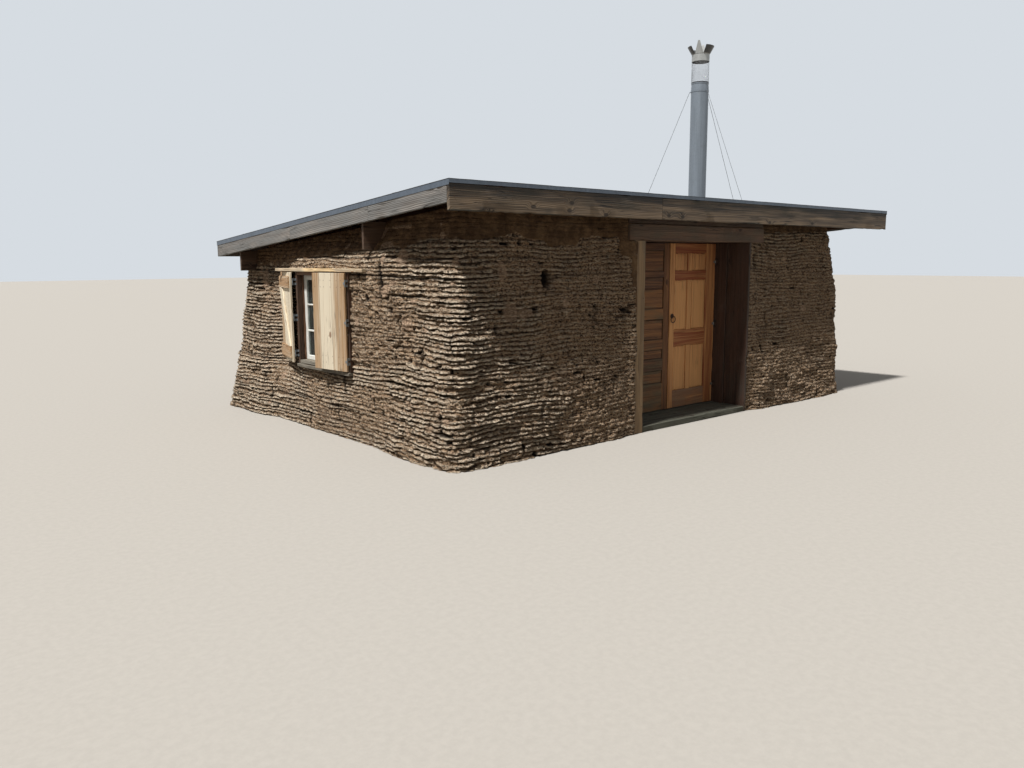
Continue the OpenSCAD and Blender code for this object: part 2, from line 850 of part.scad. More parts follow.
// Closed shutter with its hinge pin on the Z axis, lying towards +Y, its boards outside
module shutter() {
    z_top = shutter_low_z + shutter_h;
    x_in = shutter_pin_out + shutter_t;
    free_y = shutter_w - batten_gap;
    low_z = window_low_z + batten_side;
    top_z = window_top_z - batten_side;
    difference() {
        block(shutter_pin_out, x_in, 2, shutter_w, shutter_low_z, z_top);
        for (z = shutter_hinge_z)
            translate([0, 0, z])
                cylinder(r = shutter_knuckle_r + 1, h = shutter_hinge_h);
    }
    block(x_in, x_in + batten_t, batten_side, free_y, low_z, low_z + batten_h);
    block(x_in, x_in + batten_t, batten_side, free_y, top_z - batten_h, top_z);
    translate([x_in, 0, 0])
        rotate([90, 0, 90])
            linear_extrude(batten_t)
                polygon([
                    [batten_side, low_z + batten_h],
                    [batten_side + batten_h, low_z + batten_h],
                    [free_y, top_z - batten_h],
                    [free_y - batten_h, top_z - batten_h]]);
}

module at_near_pin() {
    translate([shutter_pin_x, window_near_y, 0])
        rotate([0, 0, near_open])
            children();
}

module at_far_pin() {
    translate([shutter_pin_x, window_far_y, 0])
        rotate([0, 0, -far_open])
            mirror([0, 1, 0])
                children();
}

module shutter_near() {
    color("#d8bb8b")
        at_near_pin()
            shutter();
}

module shutter_far() {
    color("#d8bb8b")
        at_far_pin()
            shutter();
}

// Moving half of the shutter hinges, on the outside of the boards
module shutter_hinge_moving() {
    for (z = shutter_hinge_z)
        translate([0, 0, z]) {
            moving_knuckle(shutter_knuckle_r, shutter_hinge_h);
            difference() {
                translate([0, 0, shutter_hinge_h / 3 + pin_gap])
                    cube([shutter_pin_out, hinge_leaf_w, shutter_hinge_h / 3 - 2 * pin_gap]);
                cylinder(r = pin_r + pin_gap, h = shutter_hinge_h);
            }
        }
}

module shutter_hinges_near() {
    color("#8b8d8c")
        at_near_pin()
            shutter_hinge_moving();
}

module shutter_hinges_far() {
    color("#8b8d8c")
        at_far_pin()
            shutter_hinge_moving();
}

// Fixed halves of the shutter hinges, carried on the frame's outer sides
module window_hinge_plates() {
    third = shutter_hinge_h / 3;
    reach = window_front_x - shutter_pin_x;
    color("#8b8d8c")
        for (side = [-1, 1])
            translate([shutter_pin_x, side < 0 ? window_near_y : window_far_y, 0])
                mirror([0, side > 0 ? 1 : 0, 0])
                    for (z = shutter_hinge_z)
                        translate([0, 0, z]) {
                            fixed_knuckles(shutter_knuckle_r, shutter_hinge_h);
                            for (h = [0, 2 * third])
                                translate([0, -shutter_knuckle_r, h])
                                    cube([reach, plate_t, third]);
                            for (h = [0, 2 * third])
                                translate([reach - plate_t, -shutter_knuckle_r, h])
                                    cube([plate_t, hinge_leaf_w, third]);
                        }
}

// Roof beam on edge, its top cut to the roof's slope
module beam(y, h) {
    end_x = rafter_side_x - beam_end_gap;
    top_in = soffit + slope_gap;
    color("#57493c")
        translate([-end_x, 0, 0])
            rotate([90, 0, 90])
                linear_extrude(2 * end_x)
                    polygon([
                        [y - beam_t / 2, roof_z(y) - soffit - h],
                        [y + beam_t / 2, roof_z(y) - soffit - h],
                        [y + beam_t / 2, roof_z(y + beam_t / 2) - top_in],
                        [y - beam_t / 2, roof_z(y - beam_t / 2) - top_in]]);
}

module beam_mid() {
    beam(beam_mid_y, beam_mid_h);
}

module beam_rear() {
    beam(room_back_y + beam_rear_in, beam_rear_h);
}

module rafters() {
    pitch = (2 * rafter_side_x - rafter_t) / (rafter_count - 1);
    color("#6b4a34")
        difference() {
            for (i = [0:rafter_count - 1])
                slope_slab(-rafter_side_x + i * pitch, -rafter_side_x + i * pitch + rafter_t,
                    rafter_front_y, rafter_back_y, deck_low + slope_gap, soffit);
            pipe_hole(trimmer_gap);
        }
}

module pipe_hole(gap) {
    translate([chimney_x, chimney_y, 0])
        cylinder(d = pipe_d + 2 * gap, h = 2 * roof_front_z);
}

module roof_deck() {
    color("#7a5138")
        difference() {
            slope_slab(-fascia_x, fascia_x, -fascia_y, fascia_y, deck_top + slope_gap, deck_low);
            pipe_hole(pipe_gap);
        }
}

// Galvanised metal edge: a flange on the deck and a leg down the fascia, all round
module roof_edge_trim() {
    high = felt_t + slope_gap;
    inner_x = metal_x - edge_flange;
    inner_y = metal_y - edge_flange;
    color("#9aa0a3") {
        difference() {
            slope_slab(-metal_x, metal_x, -metal_y, metal_y, high, deck_top);
            slope_slab(-inner_x, inner_x, -inner_y, inner_y, felt_t - 1, deck_top + 1);
        }
        slope_slab(-metal_x, metal_x, -metal_y, -fascia_y, high, deck_top + edge_drop_front);
        slope_slab(-metal_x, metal_x, fascia_y, metal_y, high, deck_top + edge_drop_side);
        for (side = [-metal_x, fascia_x])
            slope_slab(side, side + edge_t, -metal_y, metal_y, high, deck_top + edge_drop_side);
    }
}

module roof_covering() {
    inner_x = metal_x - edge_flange;
    inner_y = metal_y - edge_flange;
    color("#3b3b3c")
        difference() {
            union() {
                slope_slab(-roof_w / 2, roof_w / 2, -roof_d / 2, roof_d / 2, 0, felt_t);
                slope_slab(-inner_x, inner_x, -inner_y, inner_y, felt_t, deck_top);
            }
            pipe_hole(pipe_gap);
        }
}

module fascia_front(x0, x1) {
    slope_slab(x0, x1, -fascia_y, -fascia_y + fascia_t,
        deck_low + slope_gap, deck_low + fascia_front_h);
}

module fascia_front_left() {
    color("#6f6558")
        fascia_front(-fascia_x, fascia_joint_x);
}

module fascia_front_right() {
    color("#6b6154")
        fascia_front(fascia_joint_x, fascia_x);
}

module fascia_side(x) {
    slope_slab(x, x + fascia_t, rafter_front_y, rafter_back_y,
        deck_low + slope_gap, deck_low + fascia_side_h);
}

module fascia_left() {
    color("#8d877b")
        fascia_side(-fascia_x);
}

module fascia_right() {
    color("#8d877b")
        fascia_side(rafter_side_x);
}

module fascia_back() {
    color("#857d70")
        slope_slab(-fascia_x, fascia_x, rafter_back_y, fascia_y,
            deck_low + slope_gap, deck_low + fascia_side_h);
}

module chimney_pipe() {
    low_z = roof_z(chimney_y) - deck_low - pipe_below;
    color("#a5a8a8")
        translate([chimney_x, chimney_y, low_z])
            difference() {
                cylinder(d = pipe_d, h = pipe_top_z - low_z);
                translate([0, 0, -1])
                    cylinder(d = pipe_d - 2 * pipe_wall, h = pipe_top_z - low_z + 2);
            }
}

// Square plate on the felt with a cone up to the pipe
module chimney_flashing() {
    half = flashing_w / 2;
    cone_z = roof_z(chimney_y);
    skirt = 60;
    slant = (flashing_cone_d - pipe_d) / 2 / flashing_h;
    grow = skirt * slant;
    color("#8f9394")
        difference() {
            union() {
                slope_slab(chimney_x - half, chimney_x + half,
                    chimney_y - half, chimney_y + half, -flashing_t, 0);
                translate([chimney_x, chimney_y, cone_z - skirt])
                    cylinder(r1 = flashing_cone_d / 2 + grow, r2 = pipe_d / 2 + flashing_t,
                        h = flashing_h + skirt);
            }
            slope_slab(-roof_w / 2, roof_w / 2, -roof_d / 2, roof_d / 2,
                -slope_gap, roof_front_z / 2);
            pipe_hole(pipe_gap);
        }
}

module spark_screen() {
    color("#777b7d")
        translate([chimney_x, chimney_y, pipe_top_z])
            difference() {
                cylinder(d = pipe_d - 4, h = screen_h);
                translate([0, 0, -1])
                    cylinder(d = pipe_d - 4 - 2 * screen_t, h = screen_h + 2);
            }
}

// Sheet-metal petal: a slice of a flared band, riveted inside the ring and cut to a taper
module petal(out, h, half_low, half_high) {
    lap = 30;
    r_out = pipe_d / 2 - cap_t + cap_t / 3;
    r_in = r_out - cap_t;
    intersection() {
        rotate_extrude()
            polygon([
                [r_in, -lap], [r_out, -lap], [r_out, 0],
                [r_out + out, h], [r_in + out, h], [r_in, 0]]);
        rotate([90, 0, 90])
            linear_extrude(pipe_d)
                polygon([
                    [-half_low, -lap - 1], [half_low, -lap - 1], [half_low, 0],
                    [half_high, h + 1], [-half_high, h + 1], [-half_low, 0]]);
    }
}

module chimney_cap() {
    color("#8b8f90")
        translate([chimney_x, chimney_y, pipe_top_z + screen_h])
            rotate([0, 0, petal_turn]) {
                difference() {
                    cylinder(d = pipe_d, h = cap_ring_h);
                    translate([0, 0, -1])
                        cylinder(d = pipe_d - 2 * cap_t, h = cap_ring_h + 2);
                }
                translate([0, 0, cap_ring_h]) {
                    for (a = [0, 180])
                        rotate([0, 0, a])
                            petal(petal_side_out, petal_side_h, 0.85 * pipe_d / 2, 0.6 * pipe_d);
                    for (a = [90, 270])
                        rotate([0, 0, a])
                            petal(petal_front_out, petal_front_h, 0.5 * pipe_d / 2, 12);
                }
            }
}

// Clamp band with three lugs for the stays
module guy_band() {
    lug_t = 6;
    color("#6f7375")
        translate([chimney_x, chimney_y, band_z])
            difference() {
                union() {
                    cylinder(d = pipe_d + 2 * (pipe_gap + band_t), h = band_h);
                    for (a = stay_turns)
                        rotate([0, 0, a])
                            translate([pipe_d / 2, -lug_t / 2, band_h / 2 - lug_t])
                                cube([lug_l, lug_t, 2 * lug_t]);
                }
                translate([0, 0, -1])
                    cylinder(d = pipe_d + 2 * pipe_gap, h = band_h + 2);
            }
}

// Three taut wires, each from its lug down to a foot plate on the roof
module guy_stays() {
    end_r = pipe_d / 2 + lug_l + stay_d / 2 + pipe_gap;
    foot_t = 6;
    color("#6f7375")
        for (a = stay_turns) {
            foot_x = chimney_x + stay_reach * cos(a);
            foot_y = chimney_y + stay_reach * sin(a);
            foot_z = roof_z(foot_y) + foot_t / 2;
            top_z = band_z + band_h / 2;
            run = stay_reach - end_r;
            rise = top_z - foot_z;
            slope_slab(foot_x - foot_w / 2, foot_x + foot_w / 2,
                foot_y - foot_w / 2, foot_y + foot_w / 2, -foot_t, -slope_gap);
            translate([foot_x, foot_y, foot_z])
                rotate([0, 0, a])
                    rotate([0, -atan(run / rise), 0])
                        cylinder(d = stay_d, h = sqrt(run * run + rise * rise));
        }
}

front_wall_left();
front_wall_right();
front_wall_over_door();
left_wall_front();
left_wall_rear();
left_wall_under_window();
left_wall_over_window();
right_wall();
back_wall();
floor_boards();
door_sill();
door_lintel();
door_casing_left();
door_lining_left();
door_lining_right();
door_jamb_left();
door_head();
door_leaf_left();
door_leaf_right();
door_ring_pull();
door_hinges_left();
door_hinges_right();
door_hinge_plates();
window_frame();
window_sill();
window_drip_board();
window_sash();
window_glass();
shutter_near();
shutter_far();
shutter_hinges_near();
shutter_hinges_far();
window_hinge_plates();
beam_mid();
beam_rear();
rafters();
roof_deck();
roof_covering();
roof_edge_trim();
fascia_front_left();
fascia_front_right();
fascia_left();
fascia_right();
fascia_back();
chimney_pipe();
chimney_flashing();
spark_screen();
chimney_cap();
guy_band();
guy_stays();
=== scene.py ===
import math

import bpy
import numpy as np
from mathutils import Matrix, Vector


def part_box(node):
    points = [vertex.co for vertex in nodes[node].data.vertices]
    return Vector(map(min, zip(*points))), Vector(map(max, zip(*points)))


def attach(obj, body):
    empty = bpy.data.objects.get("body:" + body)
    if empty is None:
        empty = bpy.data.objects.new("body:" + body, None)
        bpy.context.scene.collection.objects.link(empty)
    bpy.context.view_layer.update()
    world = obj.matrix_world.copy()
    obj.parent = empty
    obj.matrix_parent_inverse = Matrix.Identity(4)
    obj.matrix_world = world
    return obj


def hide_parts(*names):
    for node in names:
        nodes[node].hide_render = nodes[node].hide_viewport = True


# Frame and view
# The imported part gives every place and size. The camera stands at the near corner of the
# house, a little under the eaves, with the lens that the photograph was taken with.
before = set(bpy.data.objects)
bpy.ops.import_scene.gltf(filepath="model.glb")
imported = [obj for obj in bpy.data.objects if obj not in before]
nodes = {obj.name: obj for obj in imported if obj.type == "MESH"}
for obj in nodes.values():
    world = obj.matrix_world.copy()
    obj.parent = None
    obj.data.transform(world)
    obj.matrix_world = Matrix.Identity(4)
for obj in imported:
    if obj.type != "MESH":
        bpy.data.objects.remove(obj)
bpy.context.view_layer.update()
scene = bpy.context.scene

eye = Vector((-8.354, -8.398, 1.913))
eye_yaw = 0.7125
eye_pitch = -0.1484
eye_roll = -0.0045
focal_pixels = 825.77
photo_width = 1024
sensor_width = 36

camera_data = bpy.data.cameras.new("camera")
camera_data.sensor_width = sensor_width
camera_data.lens = focal_pixels / photo_width * sensor_width
camera = bpy.data.objects.new("camera", camera_data)
camera.matrix_world = (
    Matrix.Translation(eye)
    @ Matrix.Rotation(-eye_yaw, 4, "Z")
    @ Matrix.Rotation(math.pi / 2 + eye_pitch, 4, "X")
    @ Matrix.Rotation(eye_roll, 4, "Z")
)
scene.collection.objects.link(camera)
scene.camera = camera
scene.view_settings.view_transform = "Standard"


# Floor and light
# A plain pale floor under a high soft light from the left, which leaves the front in shade.
# The world fills in from all round. The floor throws back less light than it shows, as bare
# soil would.
class Net:
    """Short way to write a node tree: add a node, give its inputs, take its first output."""

    def __init__(self, tree):
        self.tree = tree

    def add(self, kind, values=None, **settings):
        made = self.tree.nodes.new("ShaderNode" + kind)
        for key, value in settings.items():
            setattr(made, key, value)
        for key, value in (values or {}).items():
            self.put(made.inputs[key], value)
        return made

    def put(self, socket, value):
        if isinstance(value, bpy.types.NodeSocket):
            self.tree.links.new(value, socket)
        elif isinstance(value, bpy.types.Node):
            self.tree.links.new(value.outputs[0], socket)
        elif socket.type == "RGBA" and len(value) == 3:
            socket.default_value = (*value, 1)
        else:
            socket.default_value = value

    def math(self, operation, a, b=0.0, c=0.0, clamp=False):
        return self.add("Math", {0: a, 1: b, 2: c}, operation=operation, use_clamp=clamp)

    def times(self, a, b, clamp=False):
        return self.math("MULTIPLY", a, b, clamp=clamp)

    def times_plus(self, a, b, c):
        return self.math("MULTIPLY_ADD", a, b, c)

    def vector(self, operation, a, b=(0, 0, 0)):
        return self.add("VectorMath", {0: a, 1: b}, operation=operation)

    def mix(self, factor, a, b, blend="MIX"):
        made = self.add("Mix", data_type="RGBA", blend_type=blend, clamp_factor=True)
        self.put(made.inputs[0], factor)
        self.put(made.inputs[6], a)
        self.put(made.inputs[7], b)
        return made.outputs[2]

    def place(self):
        return self.add("TexCoord").outputs["Object"]

    def attribute(self, name, output="Fac"):
        return self.add("Attribute", attribute_name=name).outputs[output]

    def noise(self, coordinates, scale, detail=3.0, roughness=0.5, distortion=0.0):
        return self.add("TexNoise", {"Vector": coordinates, "Scale": scale, "Detail": detail,
                                     "Roughness": roughness, "Distortion": distortion})

    def band(self, value, low, high, to_low=0.0, to_high=1.0):
        return self.add("MapRange", {0: value, 1: low, 2: high, 3: to_low, 4: to_high},
                        interpolation_type="SMOOTHSTEP")


def new_material(name):
    material = bpy.data.materials.new(name)
    material.use_nodes = True
    net = Net(material.node_tree)
    shader = material.node_tree.nodes["Principled BSDF"]
    return material, net, shader


def dress(net, shader, colour, roughness, height, strength, distance):
    """Gives a material's shader its colour, its roughness and the bump of its height."""
    net.put(shader.inputs["Base Color"], colour)
    net.put(shader.inputs["Roughness"], roughness)
    bump = net.add("Bump", {"Height": height, "Strength": strength, "Distance": distance})
    net.put(shader.inputs["Normal"], bump)


def seen_directly(net):
    """1 for rays from the camera, a mirror or a pane, and 0 for those that light the house."""
    path = net.add("LightPath")
    seen = net.math("MAXIMUM", path.outputs["Is Camera Ray"], path.outputs["Is Glossy Ray"])
    return net.math("MAXIMUM", seen, path.outputs["Is Transmission Ray"])


def srgb(red, green, blue):
    """A colour as a painter reads it off, in 0 to 255, as the shader's linear values."""
    return tuple(((c / 255 + 0.055) / 1.055) ** 2.4 for c in (red, green, blue))


floor_colour = srgb(172, 166, 157)
floor_bounce = srgb(116, 109, 98)
sky_colour = srgb(214, 220, 226)
floor_span = 90.0
sun_elevation = 63
sun_heading = 7
sun_strength = 5.0
sun_width = 4
fill_strength = 0.25

floor_mesh = bpy.data.meshes.new("floor")
floor_corners = [(-1, -1), (1, -1), (1, 1), (-1, 1)]
floor_mesh.from_pydata([(x * floor_span, y * floor_span, -0.001) for x, y in floor_corners],
                       [], [(0, 1, 2, 3)])
floor = bpy.data.objects.new("floor", floor_mesh)
scene.collection.objects.link(floor)
floor_material, net, shader = new_material("floor")
speckle = net.noise(net.place(), 22.0, 6.0, 0.7)
tone = net.mix(net.band(speckle, 0.3, 0.7), tuple(c * 0.93 for c in floor_colour), floor_colour)
net.put(shader.inputs["Base Color"], net.mix(seen_directly(net), floor_bounce, tone))
shader.inputs["Roughness"].default_value = 0.9
floor_mesh.materials.append(floor_material)

world = bpy.data.worlds.new("world")
scene.world = world
world.use_nodes = True
net = Net(world.node_tree)
background = world.node_tree.nodes["Background"]
seen = seen_directly(net)
net.put(background.inputs["Color"], net.mix(seen, (1.0, 1.0, 1.0), sky_colour))
net.put(background.inputs["Strength"], net.times_plus(seen, 1 - fill_strength, fill_strength))

sun_data = bpy.data.lights.new("sun", "SUN")
sun_data.energy = sun_strength
sun_data.angle = math.radians(sun_width)
sun = bpy.data.objects.new("sun", sun_data)
sun.rotation_euler = (math.radians(90 - sun_elevation), 0, math.radians(sun_heading - 90))
scene.collection.objects.link(sun)


# Sod walls
# Blocks of prairie turf laid flat, grass side down, and battered on all four sides. Each
# block shows its thin layers as ragged ribs, with open joints, crumbled holes and roots.
# Its colour paints light and shade on them: painted shade in the seams, joints, holes, pits
# and specks, and a painted highlight on the ribs' crests.
eave_left, eave_right, eave_front, eave_back = 0.330, 1.060, 0.302, 0.232
batter_left, batter_right, batter_front, batter_back = 0.320, 0.050, 0.270, 0.190
roof_slope = 0.0833
soffit_depth = 0.1782
front_corner = 0.14
back_corner = 0.27
swell = 0.012
swell_waves = ((2.3, 1.7, 2.9, 0), (1.45, -2.1, -1.9, 70), (3.1, 1.25, 1.15, 200))
bulge, bulge_z, bulge_height = 0.040, 1.35, 0.45
door_turf_width, door_turf_in = 0.33, 0.010
window_turf_width, window_turf_fall, window_turf_in = 0.30, 0.75, 0.030
far_turf_width, far_turf_fall, far_turf_gap = 0.65, 0.40, 0.053
shutter_width = 0.590
rib_pitch = 0.0445
course_height = 0.178
block_length = 0.42
turf_lap, lap_rise, turf_behind = 0.030, 0.022, 0.035
inside_roof_edge = 0.004
droop_fade = 0.03

# Edges of the daubed mud: places along a face and their heights, and at the door the other way.
front_mud_edge = (
    (-4.0, -3.5, -3.2, -3.05, -2.9, -2.68, -2.63, -2.25, -2.16, -1.98, -1.6, 0.7, 0.9, 3.1),
    (2.10, 2.10, 2.14, 2.18, 2.12, 2.11, 2.05, 2.05, 2.12, 2.16, 2.15, 2.10, 2.24, 2.30))
left_mud_edge = ((-2.3, -1.9, -1.5, -0.7, 0.4, 1.4), (2.10, 2.12, 2.04, 1.99, 1.94, 1.86))
door_mud_edge = ((1.10, 1.60, 1.66, 1.93, 1.97, 2.15), (-1.48, -1.50, -1.55, -1.56, -1.66, -1.68))
# Soft ovals on a face: the place along it, half the width, the height and half the tallness.
front_slot = (-2.68, 0.060, 1.73, 0.085)
left_split = (-1.262, 0.020, 1.70, 0.22)
front_clods = (
    (-3.25, 0.05, 1.81, 0.10), (-3.18, 0.09, 1.42, 0.10), (-3.00, 0.11, 1.40, 0.05),
    (-1.98, 0.045, 1.71, 0.05), (-2.45, 0.05, 1.48, 0.05), (0.93, 0.05, 1.99, 0.07),
    (1.25, 0.05, 1.93, 0.05), (1.72, 0.04, 1.93, 0.04), (2.1, 0.07, 1.25, 0.045))
left_clods = (
    (1.66, 0.11, 1.70, 0.13), (-1.51, 0.075, 1.95, 0.085), (-1.275, 0.035, 1.945, 0.065),
    (-1.885, 0.03, 2.015, 0.075), (-2.08, 0.03, 2.15, 0.03))

roof_low, roof_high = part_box("roof_covering")
left_foot = roof_low.x + eave_left - batter_left
right_foot = roof_high.x - eave_right + batter_right
front_foot = roof_low.y + eave_front - batter_front
back_foot = roof_high.y - eave_back + batter_back


def roof_top(y):
    return roof_high.z - (y - roof_low.y) * roof_slope


front_top_height = roof_top(roof_low.y + eave_front) - soffit_depth
back_top_height = roof_top(roof_high.y - eave_back) - soffit_depth
lean_left = batter_left / front_top_height
lean_right = -batter_right / front_top_height
lean_front = batter_front / front_top_height
lean_back = -batter_back / back_top_height
casing_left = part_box("door_casing_left")[0].x
surround_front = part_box("door_casing_left")[0].y
casing_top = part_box("door_casing_left")[1].z
lining_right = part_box("door_lining_right")[1].x
lintel_low, lintel_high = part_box("door_lintel")
window_low, window_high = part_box("window_frame")
far_turf_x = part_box("shutter_far")[1].x + far_turf_gap


def hashed(ix, iy, iz, seed):
    """A random value from 0 to 1 for each whole-numbered cell."""
    h = (ix.astype(np.int64) * 374761393 + iy.astype(np.int64) * 668265263
         + iz.astype(np.int64) * 2147483647 + seed * 974634777) & 0xFFFFFFFF
    h = ((h ^ (h >> 13)) * 1274126177) & 0xFFFFFFFF
    h = ((h ^ (h >> 16)) * 2246822519) & 0xFFFFFFFF
    return ((h ^ (h >> 15)) & 0xFFFFFF) / float(0xFFFFFF)


def lumps(points, size, seed, octaves=1):
    """Smooth noise from -1 to 1 at points, with lumps of the given size or sizes on x, y, z."""
    total = np.zeros(len(points))
    weight = 1.0
    reach = 0.0
    scaled = points / np.array(size)
    for octave in range(octaves):
        cell = np.floor(scaled)
        t = scaled - cell
        t = t * t * (3 - 2 * t)
        value = np.zeros(len(points))
        for corner in range(8):
            dx, dy, dz = corner & 1, (corner >> 1) & 1, corner >> 2
            share = (np.where(dx, t[:, 0], 1 - t[:, 0]) * np.where(dy, t[:, 1], 1 - t[:, 1])
                     * np.where(dz, t[:, 2], 1 - t[:, 2]))
            value += share * hashed(cell[:, 0] + dx, cell[:, 1] + dy, cell[:, 2] + dz, seed + octave)
        total += weight * (2 * value - 1)
        reach += weight
        weight *= 0.5
        scaled = scaled * 2.03 + 17.1
    return total / reach


def ease(value, low, high):
    t = np.clip((value - low) / (high - low), 0, 1)
    return t * t * (3 - 2 * t)


def long_form(points, side):
    """Depth of the wall's main form past its battered planes, and the hold of its openings.

    The face swells, bulges at the right front corner, comes out to the door surround and the
    window frame, and falls back behind the open far shutter.
    """
    x, y, z = points.T
    waves = sum(np.sin(2 * np.pi * (x / w[0] + y / w[1] + z / w[2]) + math.radians(w[3]))
                for w in swell_waves)
    right_top = roof_high.x - eave_right
    front_top = -roof_low.y - eave_front
    swelled = swell * waves / 1.8
    swelled += (bulge * np.exp(-(((z - bulge_z) / bulge_height) ** 2))
                * ease(x, right_top - 0.9, right_top - 0.1) * ease(-y, front_top - 0.9, front_top - 0.1))
    beside_door = np.maximum(casing_left - x, x - lining_right)
    by_door = (1 - ease(beside_door, 0, door_turf_width)) * (side[:, 1] < -0.9)
    by_window = 1 - ease(window_low.y - y, window_turf_width, window_turf_width + window_turf_fall)
    by_window *= 1 - ease(y - window_high.y, far_turf_width, far_turf_width + far_turf_fall)
    fade_z = window_high.z + 0.05
    by_window *= (1 - ease(z, fade_z, window_high.z + 0.45)) * (side[:, 0] < -0.9)
    held = by_door + by_window
    window_front = window_low.x + window_turf_in
    fallen = ease(z, 0.2 * fade_z, 0.4 * fade_z) * np.clip((y - window_high.y) / shutter_width, 0, 1)
    window_plane = window_front + fallen * (far_turf_x - window_front)
    plane = by_door * (y - surround_front - door_turf_in) + by_window * (x - window_plane)
    return swelled * (1 - 0.65 * held) + plane, held, by_door


def spot(across, z, where, half_width, height, half_height):
    """Mask of a soft-edged oval at a place on a wall face."""
    reach = np.hypot((across - where) / half_width, (z - height) / half_height)
    return ease(-reach, -1.25, -0.75)


def turf_layers(points, front, left):
    """Level on the wall, number of the thin layer, how clear it shows, its raggedness and its rib."""
    x, y, z = points.T
    level = z + 0.034 * lumps(points, (0.8, 0.8, 0.5), 11) + 0.008 * lumps(points, (0.15, 0.15, 0.07), 12)
    layer = level / rib_pitch + 0.34 * lumps(points, (0.5, 0.5, 0.06), 13)
    layer += 0.16 * lumps(points, (0.06, 0.06, 0.035), 31)
    u = layer - np.floor(layer)
    lip = ease(u, 0.04, 0.28) * ease(-u, -1.0, -0.52)
    ragged = lumps(points, (0.24, 0.24, 0.045), 14) + 1.1 * lumps(points, (0.05, 0.05, 0.03), 30, 2)
    lip_size = np.clip(0.60 + 0.55 * ragged, 0.0, 1.3)
    corner = ease(-x, 3.35, 3.75) * ease(-y, 1.0, 1.8)
    clear = 0.5 + 0.5 * lumps(points, (0.50, 0.50, 0.26), 15, 2) + 0.30 * corner
    clear += 0.22 * left * ease(y, 0.3, 0.8) + 0.20 * front * ease(z, 1.65, 1.85)
    clear -= left * 0.62 * np.exp(-(((y + 1.20) / 0.68) ** 2) - ((z - 1.25) / 0.36) ** 2)
    # On the front the ribs show less above a slanting line and more low by the left corner, where a patch of
    # sunlight fell below the eave's shadow. Through the crests' painted highlight and the seams' painted
    # shade this paints that patch of light; it also changes the ribs' depth.
    clear -= 0.30 * front * ease(x + 0.55 * z, -2.6, -2.1)
    clear += 0.25 * front * ease(-x, 2.4, 3.0) * ease(-z, -1.5, -0.9)
    clear = ease(clear, 0.30, 0.72)
    return level, layer, clear, lip_size, (0.007 + 0.019 * clear + 0.004 * corner) * lip_size * lip


def block_joints(points, along, level):
    """Open beds and open butts between the blocks, and how far each block stands out."""
    course = level / course_height + 0.25 * lumps(points, (0.9, 0.9, 2.0), 19)
    row = np.floor(course)
    none = row * 0
    shift = hashed(row, none, none, 5) * block_length
    block = (along + shift) / block_length + 0.12 * lumps(points, (0.3, 0.3, 0.06), 20, 2)
    column = np.round(block)
    bed = np.abs(course - np.round(course)) * course_height
    butt = np.abs(block - column) * block_length
    butt_width = 0.008 + 0.014 * hashed(row, column, none, 10)
    open_bed = ease(hashed(np.round(course), none, none, 8) + 0.6 * lumps(points, 0.4, 21), 0.3, 0.8)
    open_butt = ease(hashed(row, column, none, 9) + 0.25 * lumps(points, (0.3, 0.3, 0.05), 32), 0.74, 0.86)
    return (open_bed * np.exp(-((bed / 0.010) ** 2)), open_butt * np.exp(-((butt / butt_width) ** 2)),
            0.014 * (2 * hashed(row, np.floor(block), none, 7) - 1))


def daubed_mud(points, side, front):
    """Mud smoothed over the turf under the eaves and beside the door surround."""
    x, y, z = points.T
    round_front = ease(0.16 * lumps(points, 0.10, 34, 2) - side[:, 1], 0.45, 0.80)
    over = z - np.interp(x, *front_mud_edge) + 0.022 * lumps(points, (0.06, 0.06, 0.05), 25, 2)
    mud = ease(over, -0.008, 0.02) * round_front
    round_left = ease(0.16 * lumps(points, 0.10, 37, 2) - side[:, 0], 0.25, 0.60)
    over = z - np.interp(y, *left_mud_edge) + 0.05 * lumps(points, (0.10, 0.10, 0.07), 35, 2)
    mud = np.maximum(mud, 0.75 * round_left * ease(over, -0.04, 0.05))
    past = x - np.interp(z, *door_mud_edge) + 0.03 * lumps(points, 0.05, 26, 2)
    beside = ease(past, 0, 0.02) * ease(z, 1.05, 1.25) * ease(-x, 1.2, 1.4)
    return np.maximum(mud, front * beside)


def stuck_clods(points, front, left):
    """Pale clods that stick out of the turf, the large ones at their places."""
    x, y, z = points.T
    clods = ease(lumps(points, (0.12, 0.12, 0.09), 27), 0.64, 0.76) * (0.3 + 0.5 * left)
    for clod in front_clods:
        clods = np.maximum(clods, 0.8 * front * spot(x, z, *clod))
    clods *= ease(roof_top(y) - soffit_depth - z + 2 * front, 0, 0.1)
    for clod in left_clods:
        clods = np.maximum(clods, 0.9 * left * spot(y + 0.04 * lumps(points, 0.06, 36), z, *clod))
    return clods


